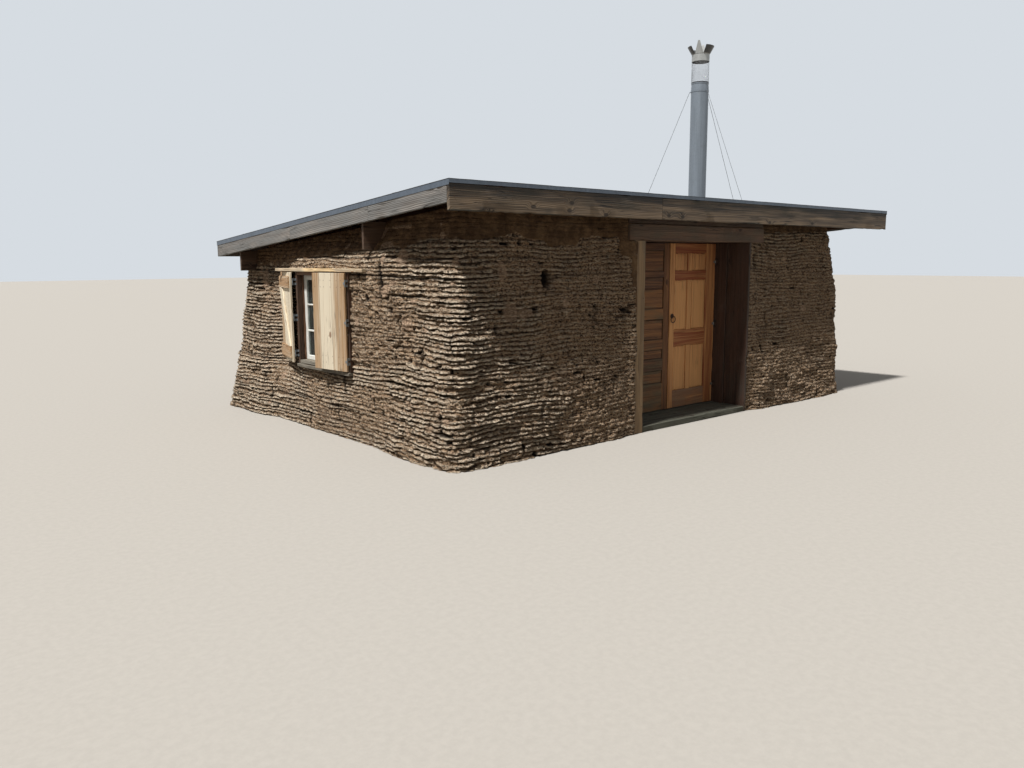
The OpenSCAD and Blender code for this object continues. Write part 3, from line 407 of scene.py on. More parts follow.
def sod_relief(points, along, side):
    """Fine relief of the turf's layers at points, and the marks that its material shows."""
    x, y, z = points.T
    front = (side[:, 1] < -0.7) * 1.0
    left = (side[:, 0] < -0.7) * 1.0
    level, layer, clear, lip_size, rib = turf_layers(points, front, left)
    crumble = ((0.014 - 0.004 * clear) * lumps(points, (0.085, 0.085, 0.06), 16, 2)
               + 0.013 * lumps(points, (0.036, 0.036, 0.024), 17, 2) + 0.006 * lumps(points, 0.018, 18))
    crumble *= 1 + 0.8 * left * (1 - clear)
    open_bed, open_butt, step = block_joints(points, along, level)
    open_bed *= 1 - 0.75 * front
    open_butt *= 1 - 0.4 * front
    slot = spot(x, z, *front_slot) * front
    split = spot(y + 0.03 * lumps(points, 0.15, 33), z, *left_split) * left
    holes = ease(lumps(points, (0.075, 0.075, 0.045), 22), 0.70, 0.86)
    holes = np.maximum(holes, np.maximum(slot, split))
    at_end = np.maximum(ease(np.abs(x + 0.48), 3.0, 3.4) * ease(np.abs(y), 2.0, 2.3), 0.15)
    sag = 0.008 * lumps(points, 0.9, 23) + (0.010 + 0.024 * at_end) * lumps(points, 0.36, 24)
    mud = daubed_mud(points, side, front)
    clods = stuck_clods(points, front, left)
    smear = np.clip(mud + 0.7 * clods, 0, 1)

    rough = rib + crumble - 0.020 * open_bed - 0.026 * open_butt - 0.040 * holes
    smooth = 0.010 + 0.004 * lumps(points, 0.12, 28, 2) + 0.35 * crumble
    depth = (rough + step) * (1 - smear) + smooth * smear + sag - 0.008 - 0.05 * slot
    gap = np.clip(open_bed + open_butt + 1.2 * holes, 0, 1)
    marks = {"layer": layer, "clear": clear * lip_size, "gap": gap, "mud": mud, "clod": clods}
    return depth, 0.35 * rib * (1 - smear), marks


def straight(start, end, normal, step):
    """Points of a straight stretch of wall, each with its lean and its outward side.

    Start and end are each a place at the wall's foot and the lean of the face there.
    """
    count = max(2, round(math.dist(start[0], end[0]) / step) + 1)
    t = np.linspace(0, 1, count)[:, None]
    foot, lean = (np.array(a) * (1 - t) + np.array(b) * t for a, b in zip(start, end))
    return foot, lean, np.tile(np.array(normal, float), (count, 1))


def rounded(centre, radius, lean, first, last, step):
    """Points round a corner of the wall, from one heading to another, in degrees."""
    arc = math.radians(abs(last - first)) * radius
    turn = np.radians(np.linspace(first, last, round(arc / step) + 1))
    side = np.stack([np.cos(turn), np.sin(turn)], 1)
    return np.array(centre) + radius * side, np.tile(np.array(lean, float), (len(turn), 1)), side


def joined(stretches):
    """One run of wall from stretches that share their end points."""
    parts = [tuple(a[1 if i else 0:] for a in s) for i, s in enumerate(stretches)]
    return [np.concatenate([p[k] for p in parts]) for k in range(3)]


def mesh_piece(name, points, faces, material, smooth=True):
    mesh = bpy.data.meshes.new(name)
    mesh.from_pydata(points, [], faces)
    mesh.materials.append(material)
    mesh.polygons.foreach_set("use_smooth", [smooth] * len(mesh.polygons))
    mesh.update()
    piece = bpy.data.objects.new(name, mesh)
    scene.collection.objects.link(piece)
    return piece


def settle(piece, body, slot, *replaced):
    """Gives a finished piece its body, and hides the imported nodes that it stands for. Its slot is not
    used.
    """
    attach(piece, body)
    if replaced:
        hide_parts(*replaced)


def ring_faces(rows, count, closed=False):
    """Four-sided faces between rings of points that follow one another."""
    row, i = np.meshgrid(np.arange(rows if closed else rows - 1), np.arange(count), indexing="ij")
    j = (i + 1) % count
    above = (row + 1) % rows * count
    row = row * count
    return np.stack([row + i, row + j, above + j, above + i], 2).reshape(-1, 4)


def give_attribute(piece, name, values, kind="FLOAT"):
    made = piece.data.attributes.new(name, kind, "POINT")
    key = "value" if kind == "FLOAT" else "vector"
    made.data.foreach_set(key, np.asarray(values, np.float32).ravel())


def at_surround(face, depth, droop, by_door):
    """Laps the turf over the casing's far edge, and keeps it behind the casing and the lintel."""
    x, y, z = face.T
    edge = casing_left + turf_lap + 0.025 * lumps(face, (1, 1, 0.16), 41, 2)
    lap = ease(x, casing_left - 0.12, casing_left) * by_door * (x < casing_left + 0.5)
    behind = ease(x - edge, 0, 0.02) * (x < lining_right - 0.1)
    beside_lintel = ease(z, casing_top - 0.015, casing_top + 0.005)
    beside_lintel *= ease(x, lintel_low.x - 0.02, lintel_low.x)
    beside_lintel *= ease(-x, -lintel_high.x, 0.02 - lintel_high.x)
    hidden = np.maximum(behind * (1 - beside_lintel), beside_lintel) * by_door
    depth = depth + lap_rise * lap * (1 - hidden)
    covered = y - surround_front - turf_behind
    return depth * (1 - hidden) + covered * hidden, droop * (1 - by_door)


def sod_wall(node, run, inner, along_start, row_step, low, high=None):
    """Block of sod wall: its outer face follows run, and inner lists the corners that close it."""
    foot, lean, side = run
    gaps = np.linalg.norm(np.diff(foot, axis=0), axis=1)
    along = along_start - np.concatenate([[0], np.cumsum(gaps)])
    plan = np.concatenate([foot, np.array(inner).reshape(-1, 2)])
    leans = np.concatenate([lean, np.zeros((len(inner), 2))])
    roof_at = roof_top(plan[:, 1]) - soffit_depth
    top = roof_at / (1 + roof_slope * leans[:, 1]) if high is None else np.full(len(plan), high)
    rows = round((top.max() - low) / row_step) + 1
    z = low + np.linspace(0, 1, rows)[:, None] * (top - low)
    rings = np.stack([plan[:, 0] + leans[:, 0] * z, plan[:, 1] + leans[:, 1] * z, z], 2)
    count = len(foot)
    face = rings[:, :count].reshape(-1, 3)
    sides = np.tile(side, (rows, 1))
    form, held, by_door = long_form(face, sides)
    relief, droop, marks = sod_relief(face, np.tile(along, rows), sides)
    depth, droop = at_surround(face, form + relief * (1 - 0.4 * held), droop, by_door)
    rings[:, :count, :2] += side * depth.reshape(rows, count, 1)
    rings[:, :, 1] = np.clip(rings[:, :, 1], roof_low.y + inside_roof_edge, roof_high.y - inside_roof_edge)
    between = ease(z, low, low + droop_fade) * ease(-z, -top, droop_fade - top)
    rings[:, :count, 2] -= droop.reshape(rows, count) * between[:, :count]
    rings[:, :, 2] = np.minimum(rings[:, :, 2], roof_top(rings[:, :, 1]) - soffit_depth)
    total = len(plan)
    faces = np.roll(ring_faces(rows, total)[:, ::-1], 1, axis=1).tolist()
    faces.append(list(range(total)))
    faces.append(list(range(rows * total - 1, (rows - 1) * total - 1, -1)))
    piece = mesh_piece("sod_" + node, rings.reshape(-1, 3).tolist(), faces, sod_material)
    for name, values in marks.items():
        padded = np.zeros((rows, total))
        padded[:, :count] = values.reshape(rows, count)
        give_attribute(piece, name, padded)
    settle(piece, "house", "sod", node)


sod_material, net, shader = new_material("sod")
dark_crumb, pale_crumb = srgb(80, 60, 45), srgb(174, 144, 113)
mud_dark, mud_pale = srgb(98, 74, 52), srgb(144, 115, 84)
clod_dark, clod_pale = srgb(132, 106, 84), srgb(196, 168, 142)
seam_shade_brown = srgb(50, 37, 29)
gap_shade_black = srgb(28, 20, 15)
pale_root_and_highlight = srgb(238, 220, 194)
wet_soil = srgb(88, 66, 50)
place = net.place()
layer, clear, gap, mud, clod = map(net.attribute, ("layer", "clear", "gap", "mud", "clod"))
flat_place = net.vector("MULTIPLY", place, (1, 1, 1.7)).outputs[0]
fray = net.noise(flat_place, 24.0, 4.0, 0.65)
crumb = net.noise(flat_place, 44.0, 3.0, 0.60)
speck = net.noise(flat_place, 105.0, 3.0, 0.65)
fine = net.noise(flat_place, 230.0, 3.0, 0.6)
patches = net.noise(place, 2.4, 4.0, 0.6)
dashes = net.noise(net.vector("MULTIPLY", place, (1, 1, 2.0)), 15.0, 3.0, 0.6)
roots = net.noise(net.vector("MULTIPLY", place, (14, 14, 170)), 1.0, 2.0, 0.5)
shifted = net.times_plus(fray, 0.60, net.times_plus(crumb, 0.40, layer))
crest_share = net.math("FRACT", net.math("ADD", shifted, 0.48))
off_crest = net.times(net.math("ABSOLUTE", net.math("SUBTRACT", crest_share, 0.5)), 2.0)
dashed = net.band(dashes, 0.43, 0.57)
# Painted shade: the seams between the thin layers are darkened toward seam_shade_brown, as if shade fell
# under each rib.
seam_shade_strength = net.times_plus(clear, net.times_plus(dashed, 0.75, 0.45), net.times(dashed, 0.40))
seam_shade = net.times(net.band(off_crest, 0.50, 0.82), seam_shade_strength, clamp=True)
# Painted shade: open joints, holes, pits and fine specks are darkened toward gap_shade_black, as if shade
# fell in them.
pit_shade = net.math("MAXIMUM", net.band(crumb, 0.435, 0.365), net.band(speck, 0.37, 0.31))
cleft_shade = net.math("MAXIMUM", gap, net.times(pit_shade, 0.85))
ragged = net.times_plus(speck, 0.5, net.times(fray, 0.5))
# Painted highlight: the ribs' crests are lightened toward pale_root_and_highlight, as if light from above
# caught them. The same pale colour also draws the real roots' streaks.
crest_highlight = net.times(net.band(off_crest, 0.62, 0.25), net.band(ragged, 0.41, 0.53))
crest_highlight = net.times(crest_highlight, net.times_plus(clear, 0.80, 0.28), clamp=True)
grains = net.times_plus(crumb, 0.48, net.times(speck, 0.52))
tone = net.mix(net.band(grains, 0.435, 0.565), dark_crumb, pale_crumb)
tone = net.mix(net.times(net.band(patches, 0.46, 0.70), 0.40), tone, wet_soil)
tone = net.mix(net.times(crest_highlight, 0.85), tone, pale_root_and_highlight)
tone = net.mix(net.times(net.band(roots, 0.58, 0.68), 0.60), tone, pale_root_and_highlight)
tone = net.mix(net.times(net.band(fine, 0.44, 0.30), 0.5), tone, gap_shade_black)
tone = net.mix(net.times(seam_shade, 0.85), tone, seam_shade_brown)
tone = net.mix(cleft_shade, tone, gap_shade_black)
daub = net.mix(net.band(net.noise(place, 9.0, 5.0, 0.6), 0.35, 0.7), mud_dark, mud_pale)
daub = net.mix(net.times(net.band(speck, 0.52, 0.40), 0.45), daub, dark_crumb)
tone = net.mix(net.band(mud, 0.25, 0.75), tone, daub)
lump = net.times(net.band(net.math("ADD", clod, grains), 0.80, 1.25), 0.80)
tone = net.mix(lump, tone, net.mix(net.band(grains, 0.40, 0.58), clod_dark, clod_pale))
height = net.times_plus(fine, 0.25, net.times_plus(seam_shade, -0.9, grains))
height = net.times_plus(cleft_shade, -0.8, net.times_plus(crest_highlight, 0.4, height))
dress(net, shader, tone, 0.95, height, 1.0, 0.020)
shader.inputs["Specular IOR Level"].default_value = 0.15

sod_box = {name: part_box(name) for name in nodes if "wall" in name}
room_front = sod_box["front_wall_left"][1].y
room_back = sod_box["back_wall"][0].y
room_left = sod_box["left_wall_over_window"][1].x
room_right = sod_box["right_wall"][0].x
door_left = sod_box["front_wall_left"][1].x
door_right = sod_box["front_wall_right"][0].x
fine_step, coarse_step = 0.014, 0.026
fine_row, front_right_row, over_door_row, coarse_row = 0.0066, 0.0072, 0.012, 0.011
r, q = front_corner, back_corner
corner_loss = (2 - math.pi / 2) * r
left_along = left_foot + corner_loss - (room_front - front_foot)
near_lean, far_lean = (lean_left, lean_front), (lean_right, lean_front)
back_left_lean, back_right_lean = (lean_left, lean_back), (lean_right, lean_back)


def on_left(y, lean_y=0):
    return (left_foot, y), (lean_left, lean_y)


def on_right(y, lean_y=0):
    return (right_foot, y), (lean_right, lean_y)


def on_front(x, lean_x=0):
    return (x, front_foot), (lean_x, lean_front)


def on_back(x, lean_x=0):
    return (x, back_foot), (lean_x, lean_back)


sod_wall("front_wall_left", joined([
    straight(on_front(door_left), on_front(left_foot + r, lean_left), (0, -1), fine_step),
    rounded((left_foot + r, front_foot + r), r, near_lean, 270, 180, fine_step),
    straight(on_left(front_foot + r, lean_front), on_left(room_front), (-1, 0), fine_step)]),
    [(door_left, room_front)], door_left, fine_row, 0.0)
for node, start, end, low, high in (
        ("left_wall_front", room_front, window_low.y, 0.0, None),
        ("left_wall_under_window", window_low.y, window_high.y, 0.0,
         sod_box["left_wall_under_window"][1].z),
        ("left_wall_over_window", window_low.y, window_high.y, window_high.z, None),
        ("left_wall_rear", window_high.y, room_back, 0.0, None)):
    sod_wall(node, straight(on_left(start), on_left(end), (-1, 0), fine_step),
             [(room_left, end), (room_left, start)],
             left_along - (start - room_front), fine_row, low, high)
sod_wall("front_wall_right", joined([
    straight(on_right(room_front), on_right(front_foot + r, lean_front), (1, 0), fine_step),
    rounded((right_foot - r, front_foot + r), r, far_lean, 360, 270, fine_step),
    straight(on_front(right_foot - r, lean_right), on_front(door_right), (0, -1), fine_step)]),
    [(door_right, room_front)], right_foot + corner_loss, front_right_row, 0.0)
sod_wall("front_wall_over_door", straight(on_front(door_right), on_front(door_left), (0, -1), coarse_step),
         [(door_left, room_front), (door_right, room_front)],
         door_right, over_door_row, sod_box["front_wall_over_door"][0].z)
sod_wall("right_wall", straight(on_right(room_back), on_right(room_front), (1, 0), coarse_step),
         [(room_right, room_front), (room_right, room_back)],
         right_foot + (room_back - room_front), coarse_row, 0.0)
sod_wall("back_wall", joined([
    straight(on_left(room_back), on_left(back_foot - q, lean_back), (-1, 0), coarse_step),
    rounded((left_foot + q, back_foot - q), q, back_left_lean, 180, 90, coarse_step),
    straight(on_back(left_foot + q, lean_left), on_back(right_foot - q, lean_right), (0, 1), coarse_step),
    rounded((right_foot - q, back_foot - q), q, back_right_lean, 90, 0, coarse_step),
    straight(on_right(back_foot - q, lean_back), on_right(room_back), (1, 0), coarse_step)]),
    [], left_along - (room_back - room_front), coarse_row, 0.0)


# Plank floor
# Pine boards on low sleepers, nailed down from the left wall to the right. Feet have scuffed
# them grey, and each board keeps its own tone.
class Boards:
    """Joined mesh of worn boards. Each has rubbed edges and its own grain and tone."""

    def __init__(self, seed, mirrored=False):
        self.random = np.random.default_rng(seed)
        self.points, self.faces, self.grain, self.finish = [], [], [], []
        self.count = 0
        self.mirrored = mirrored

    def add(self, low, high, run, tone=None, weather=0.0, edge=0.003, wear=0.0012,
            bevel=None, pitch=0.09, shape=None):
        """One board from corner to corner, its grain along axis run: 0, 1 or 2.

        A pair of tones runs from edge to edge, and a list of weather values from end to end.
        """
        low, high = np.array(low, float), np.array(high, float)
        size = high - low
        wide, deep = sorted((k for k in range(3) if k != run), key=lambda k: -size[k])
        w, t, length = size[wide] / 2, size[deep] / 2, size[run]
        bevel_w, bevel_t = bevel or (edge, edge)
        bevel_w, bevel_t = min(bevel_w, 0.45 * w), min(bevel_t, 0.45 * t)
        flat = w - bevel_w - min(0.010, 0.3 * w)
        half = [(w, t - bevel_t, 1), (w - bevel_w, t, 1), (flat, t, 0), (0, t, 0),
                (-flat, t, 0), (bevel_w - w, t, 1), (-w, t - bevel_t, 1)]
        ring = np.array(half + [(-a, -b, c) for a, b, c in half])
        inner = np.linspace(bevel_w, length - bevel_w, max(2, round(length / pitch) + 1))
        stations = np.concatenate([[0], inner, [length]])
        rows, k = len(stations), len(ring)
        local = np.zeros((rows, k, 3))
        local[:, :, 0] = stations[:, None]
        local[:, :, 1:] = ring[:, :2]
        trim = min(bevel_w, bevel_t)
        for end in (0, -1):
            local[end, :, 1] = np.clip(local[end, :, 1], trim - w, w - trim)
            local[end, :, 2] = np.clip(local[end, :, 2], bevel_t - t, t - bevel_t)
        start = self.random.uniform(-20, 20, 3)
        grain = (local + start).reshape(-1, 3)
        outer = np.tile(ring[:, 2], rows)
        pull = wear * (0.5 + 0.5 * lumps(grain, (0.30, 0.05, 0.05), 51))
        pull += 2 * min(edge, bevel_t) * outer * ease(lumps(grain, (0.06, 0.04, 0.04), 52), 0.4, 0.8)
        pull = pull.reshape(rows, k)
        local[:, :, 1] -= np.sign(ring[:, 0]) * pull * (np.abs(ring[:, 0]) > w - 1.5 * bevel_w)
        local[:, :, 2] -= np.sign(ring[:, 1]) * pull
        points = np.zeros((rows * k, 3))
        points[:, run] = low[run] + local[:, :, 0].ravel()
        points[:, wide] = (low[wide] + high[wide]) / 2 + local[:, :, 1].ravel()
        points[:, deep] = (low[deep] + high[deep]) / 2 + local[:, :, 2].ravel()
        if shape is not None:
            points = shape(points)
        quads = ring_faces(rows, k).tolist()
        quads += [list(range(k))[::-1], list(range((rows - 1) * k, rows * k))]
        turned = (deep - wide) * (run - wide) * (run - deep) < 0
        if turned != self.mirrored:
            quads = [face[::-1] for face in quads]
        self.faces += [[v + self.count for v in face] for face in quads]
        self.count += rows * k
        tone = self.random.uniform(0, 1) if tone is None else tone
        tone = tone if isinstance(tone, tuple) else (tone, tone)
        self.points.append(points)
        self.grain.append(grain)
        tones = tone[0] + (tone[1] - tone[0]) * (np.tile(ring[:, 0], rows) / (2 * w) + 0.5)
        weathers = np.atleast_1d(weather)
        weathered = np.interp(local[:, :, 0].ravel() / length, np.linspace(0, 1, len(weathers)), weathers)
        self.finish.append(np.stack([tones, outer, weathered], 1))

    def lay(self, low, high, run, across, width, gap, length, **worn):
        """Boards side by side from low to high across, with staggered butt joints."""
        rows = round((high[across] - low[across]) / width)
        step = (high[across] - low[across]) / rows
        for row in range(rows):
            cuts = [low[run]]
            at = low[run] + length * self.random.uniform(0.35, 1.0)
            while at < high[run] - 0.3 * length:
                cuts.append(at)
                at += length
            cuts.append(high[run])
            for a, b in zip(cuts, cuts[1:]):
                first, last = list(low), list(high)
                first[across] = low[across] + row * step + gap / 2
                last[across] = first[across] + step - gap
                first[run], last[run] = a + gap / 2, b - gap / 2
                self.add(first, last, run, **worn)

    def piece(self, name, body, material, slot, *replaced, sharp=35):
        made = mesh_piece(name, np.concatenate(self.points).tolist(), self.faces, material)
        made.data.set_sharp_from_angle(angle=math.radians(sharp))
        give_attribute(made, "grain", np.concatenate(self.grain), "FLOAT_VECTOR")
        give_attribute(made, "finish", np.concatenate(self.finish), "FLOAT_VECTOR")
        settle(made, body, slot, *replaced)


def shader_group(name, given, made):
    """A node group with the named sockets: its tree's net, its entry and its exit."""
    tree = bpy.data.node_groups.new(name, "ShaderNodeTree")
    for label, kind in given.items():
        tree.interface.new_socket(label, in_out="INPUT", socket_type="NodeSocket" + kind)
    for label, kind in made.items():
        tree.interface.new_socket(label, in_out="OUTPUT", socket_type="NodeSocket" + kind)
    entry = tree.nodes.new("NodeGroupInput").outputs
    leave = tree.nodes.new("NodeGroupOutput").inputs
    return tree, Net(tree), entry, leave


surface = {"Color": "Color", "Roughness": "Float", "Height": "Float"}
timber_group, net, given, made = shader_group("Timber", {
    "Grain": "Vector", "Finish": "Vector", "Pale": "Color", "Dark": "Color", "Grey": "Color",
    "Weather": "Float", "Knots": "Float", "Cracks": "Float"}, surface)
grain = net.add("SeparateXYZ", {0: given["Grain"]})
finish = net.add("SeparateXYZ", {0: given["Finish"]})
along = grain.outputs[0]
across = net.math("ADD", grain.outputs[1], grain.outputs[2])


def grain_noise(along_scale, across_scale, detail, line=None):
    scaled = net.add("CombineXYZ", {0: net.times(along, along_scale),
                                    1: net.times(line or across, across_scale)})
    return net.noise(scaled, 1.0, detail, 0.55)


knot_place = net.add("CombineXYZ", {0: net.times(along, 4.0), 1: net.times(across, 7.0)})
knot_cells = net.add("TexVoronoi", {"Vector": knot_place, "Scale": 1.0}, voronoi_dimensions="2D")
knot_chance = net.times_plus(given["Knots"], -0.45, 1.0)
is_knot = net.math("GREATER_THAN", net.add("SeparateColor", {0: knot_cells.outputs["Color"]}), knot_chance)
knot_near = net.times(is_knot, net.band(knot_cells.outputs["Distance"], 0.42, 0.05))
bend = net.times_plus(grain_noise(1.1, 6.0, 2.0), 0.055, across)
bend = net.times_plus(knot_near, 0.035, bend)
streaks = grain_noise(1.3, 95.0, 3.0, bend)
broad = grain_noise(0.7, 19.0, 3.0, bend)
rings = net.math("SINE", net.times_plus(bend, 430.0, net.times(broad, 9.0)))
figure = net.times_plus(streaks, 0.75, net.times_plus(broad, 0.75, -0.25))
figure = net.times_plus(rings, 0.035, figure)
shade = net.times_plus(net.math("SUBTRACT", finish.outputs[0], 0.5), 0.42, figure)
wood = net.mix(net.band(shade, 0.22, 0.78), given["Dark"], given["Pale"])
weathering = net.math("ADD", given["Weather"], finish.outputs[2])
weathering = net.times_plus(finish.outputs[1], 0.22, weathering)
grey_mask = net.band(net.math("ADD", grain_noise(2.2, 8.0, 4.0), weathering), 0.75, 1.15)
grey_tone = net.mix(net.band(figure, 0.25, 0.75), net.mix(0.45, given["Grey"], given["Dark"]), given["Grey"])
tone = net.mix(grey_mask, wood, grey_tone)
split = net.math("ABSOLUTE", net.math("SUBTRACT", grain_noise(0.7, 24.0, 2.0, bend), 0.5))
split = net.times(net.band(split, 0.016, 0.004), net.band(grain_noise(1.6, 3.0, 1.0), 0.50, 0.58))
split = net.times(split, given["Cracks"])
blackened = net.mix(1.0, given["Dark"], (0.20, 0.18, 0.16), "MULTIPLY")
tone = net.mix(net.times(split, 0.9), tone, blackened)
knot = net.times(is_knot, net.band(knot_cells.outputs["Distance"], 0.17, 0.10))
knot_brown = net.mix(1.0, given["Dark"], (0.55, 0.42, 0.34), "MULTIPLY")
net.put(made["Color"], net.mix(net.times(knot, 0.8), tone, knot_brown))
net.put(made["Roughness"], net.times_plus(grey_mask, 0.25, 0.62))
relief = net.times_plus(split, -1.6, net.times_plus(streaks, 0.8, rings))
net.put(made["Height"], net.times_plus(knot, 0.8, relief))


def timber(name, pale, dark, grey, weather=0.4, knots=0.5, cracks=0.6, relief=0.0015, gloss=0.3):
    """Wood: pale and dark of the grain, grey of the weathered skin, and how much of each.

    Colours are as a painter reads them off, in 0 to 255.
    """
    material, net, shader = new_material(name)
    wood = net.add("Group", {
        "Grain": net.attribute("grain", "Vector"), "Finish": net.attribute("finish", "Vector"),
        "Pale": srgb(*pale), "Dark": srgb(*dark), "Grey": srgb(*grey),
        "Weather": weather, "Knots": knots, "Cracks": cracks}, node_tree=timber_group)
    shader.inputs["Specular IOR Level"].default_value = gloss
    dress(net, shader, wood.outputs["Color"], wood.outputs["Roughness"], wood.outputs["Height"], 0.7, relief)
    return material


def on_ring(radius, share, z):
    """The point at a share of the way round the Z axis."""
    a = 2 * math.pi * share
    return radius * math.cos(a), radius * math.sin(a), z


head_sides = 8


class Heads:
    """Joined mesh of small domed heads: nails, rivets and screws."""

    def __init__(self):
        self.points, self.faces = [], []

    def add(self, place, side, radius=0.0045, height=0.0016):
        turn = Vector(side).to_track_quat("Z", "Y")
        first = len(self.points)
        second = first + head_sides
        for share, rise in ((1.0, -0.4), (0.75, 0.75)):
            for i in range(head_sides):
                at = Vector(on_ring(radius * share, i / head_sides, height * rise))
                self.points.append(Vector(place) + turn @ at)
        self.points.append(Vector(place) + turn @ Vector((0, 0, height)))
        for i in range(head_sides):
            j = (i + 1) % head_sides
            self.faces.append([first + i, first + j, second + j, second + i])
            self.faces.append([second + i, second + j, second + head_sides])
        self.faces.append(list(range(first, second))[::-1])

    def row(self, start, end, count, side, **size):
        for i in range(count):
            self.add(Vector(start).lerp(Vector(end), i / max(1, count - 1)), side, **size)

    def piece(self, name, body, material, slot):
        settle(mesh_piece(name, self.points, self.faces, material), body, slot)


metal_group, net, given, made = shader_group("Sheet metal", {
    "Base": "Color", "Stain": "Color", "Spangle": "Float", "Stains": "Float"}, surface)
place = net.place()
spangle = net.add("TexVoronoi", {"Vector": place, "Scale": 60.0})
spangle = net.add("SeparateColor", {0: spangle.outputs["Color"]})
spangle = net.times(net.math("SUBTRACT", spangle, 0.5), given["Spangle"])
runs = net.noise(net.vector("MULTIPLY", place, (26, 26, 1.6)), 1.0, 4.0, 0.6)
blotches = net.noise(place, 5.0, 5.0, 0.62)
pitting = net.noise(place, 150.0, 3.0, 0.6)
value = net.times_plus(spangle, 0.5, net.times_plus(runs, 0.7, 0.65))
tone = net.mix(1.0, given["Base"], net.add("CombineXYZ", {0: value, 1: value, 2: value}), "MULTIPLY")
stained = net.times_plus(runs, 0.5, net.times_plus(pitting, 0.2, blotches))
stained = net.band(net.math("ADD", stained, given["Stains"]), 0.95, 1.35)
net.put(made["Color"], net.mix(stained, tone, given["Stain"]))
rough = net.times_plus(stained, 0.35, net.times_plus(blotches, 0.25, 0.28))
net.put(made["Roughness"], net.times_plus(spangle, 0.2, rough))
net.put(made["Height"], net.times_plus(pitting, 0.4, net.times(blotches, 0.6)))


def sheet_metal(name, base, stain, spangle=0.3, stains=0.2, metallic=0.8, relief=0.0006, soot_and_shade=None):
    """Metal: its bare colour and its stains' in 0 to 255, how much of each it shows, and its soot and
    painted shade.
    """
    material, net, shader = new_material(name)
    skin = net.add("Group", {"Base": srgb(*base), "Stain": srgb(*stain), "Spangle": spangle,
                             "Stains": stains}, node_tree=metal_group)
    tone = skin.outputs["Color"]
    if soot_and_shade:
        tone = net.mix(soot_and_shade(net, net.place()), tone, soot_and_shade_black)
    shader.inputs["Metallic"].default_value = metallic
    dress(net, shader, tone, skin.outputs["Roughness"], skin.outputs["Height"], 0.6, relief)
    return material


soot_and_shade_black = srgb(38, 37, 38)
nail_iron = sheet_metal("nail_iron", (96, 88, 82), (92, 58, 38), stains=0.5, metallic=0.6)
floor_wood = timber("floor_wood", (176, 146, 108), (118, 88, 60), (150, 138, 120), weather=0.35)
floor_low, floor_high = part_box("floor_boards")
sleeper_height = 0.030
sleeper_half_width = 0.04
sleeper_inset = 0.1
sleeper_count = 10
nails_across = 36
nail_inset = 0.05
nail_foot = floor_high.z - 0.001
sleeper_top = floor_low.z + sleeper_height
sleeper_run = floor_high.x - floor_low.x - 2 * sleeper_inset
floor_boards = Boards(301)
floor_boards.lay((floor_low.x, floor_low.y, sleeper_top), floor_high, 0, 1, width=0.142, gap=0.003,
                 length=3.6, pitch=0.25)
floor_nails = Heads()
for step in range(sleeper_count):
    x = floor_low.x + sleeper_inset + step * sleeper_run / (sleeper_count - 1)
    floor_boards.add((x - sleeper_half_width, floor_low.y, floor_low.z),
                     (x + sleeper_half_width, floor_high.y, sleeper_top), 1, pitch=0.6)
    floor_nails.row((x, floor_low.y + nail_inset, nail_foot),
                    (x, floor_high.y - nail_inset, nail_foot), nails_across, (0, 0, 1))
floor_boards.piece("floor_planks", "house", floor_wood, "floor_plank", "floor_boards")
floor_nails.piece("floor_nails", "house", nail_iron, "dark_iron")


# Door surround
# Rough planks line the recess in the sod: a two-piece lintel over it, a casing board on the
# left, wide boards on the reveals, a post for the left leaf and a worn sill underfoot.

lintel_wood = timber("lintel_wood", (112, 84, 62), (58, 40, 29), (104, 92, 78), weather=0.2, cracks=1.0,
                     relief=0.003)
casing_wood = timber("casing_wood", (160, 132, 98), (98, 76, 54), (122, 112, 98), weather=0.30, knots=0.1)
lining_wood = timber("lining_wood", (88, 66, 54), (52, 37, 30), (80, 72, 64), weather=0.2, knots=0.0,
                     cracks=0.8)
sill_wood = timber("sill_wood", (98, 88, 74), (52, 44, 36), (96, 96, 84), weather=0.55, cracks=1.0)

sill = Boards(311)
sill.lay(*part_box("door_sill"), 0, 1, width=0.22, gap=0.003, length=4.0, edge=0.006, wear=0.004, pitch=0.05)
sill.piece("sill_planks", "house", sill_wood, "weathered_board", "door_sill")

lintel_joint = 0.178
lintel_set_back = 0.012
hewn = {"edge": 0.005, "wear": 0.004, "pitch": 0.06}
lintel = Boards(312)
lintel.add(lintel_low, (lintel_high.x, lintel_high.y, lintel_low.z + lintel_joint), 0, tone=0.62, **hewn)
lintel.add((lintel_low.x, lintel_low.y + lintel_set_back, lintel_low.z + lintel_joint + 0.003),
           lintel_high, 0, tone=0.08, **hewn)
lintel.piece("lintel_timbers", "house", lintel_wood, "dark_timber", "door_lintel")

casing_low, casing_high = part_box("door_casing_left")
casing = Boards(313)
casing.add(casing_low, casing_high, 2, tone=0.7, edge=0.004, wear=0.003, pitch=0.05)
casing.piece("casing_board", "house", casing_wood, "weathered_board", "door_casing_left")
casing_nail_heights = (0.3, 0.9, 1.5, 2.0)
casing_nail_inset = 0.03
casing_nails = Heads()
for z in casing_nail_heights:
    casing_nails.row((casing_low.x + casing_nail_inset, casing_low.y, z),
                     (casing_high.x - casing_nail_inset, casing_low.y, z), 2, (0, -1, 0))
casing_nails.piece("surround_nails", "house", nail_iron, "dark_iron")

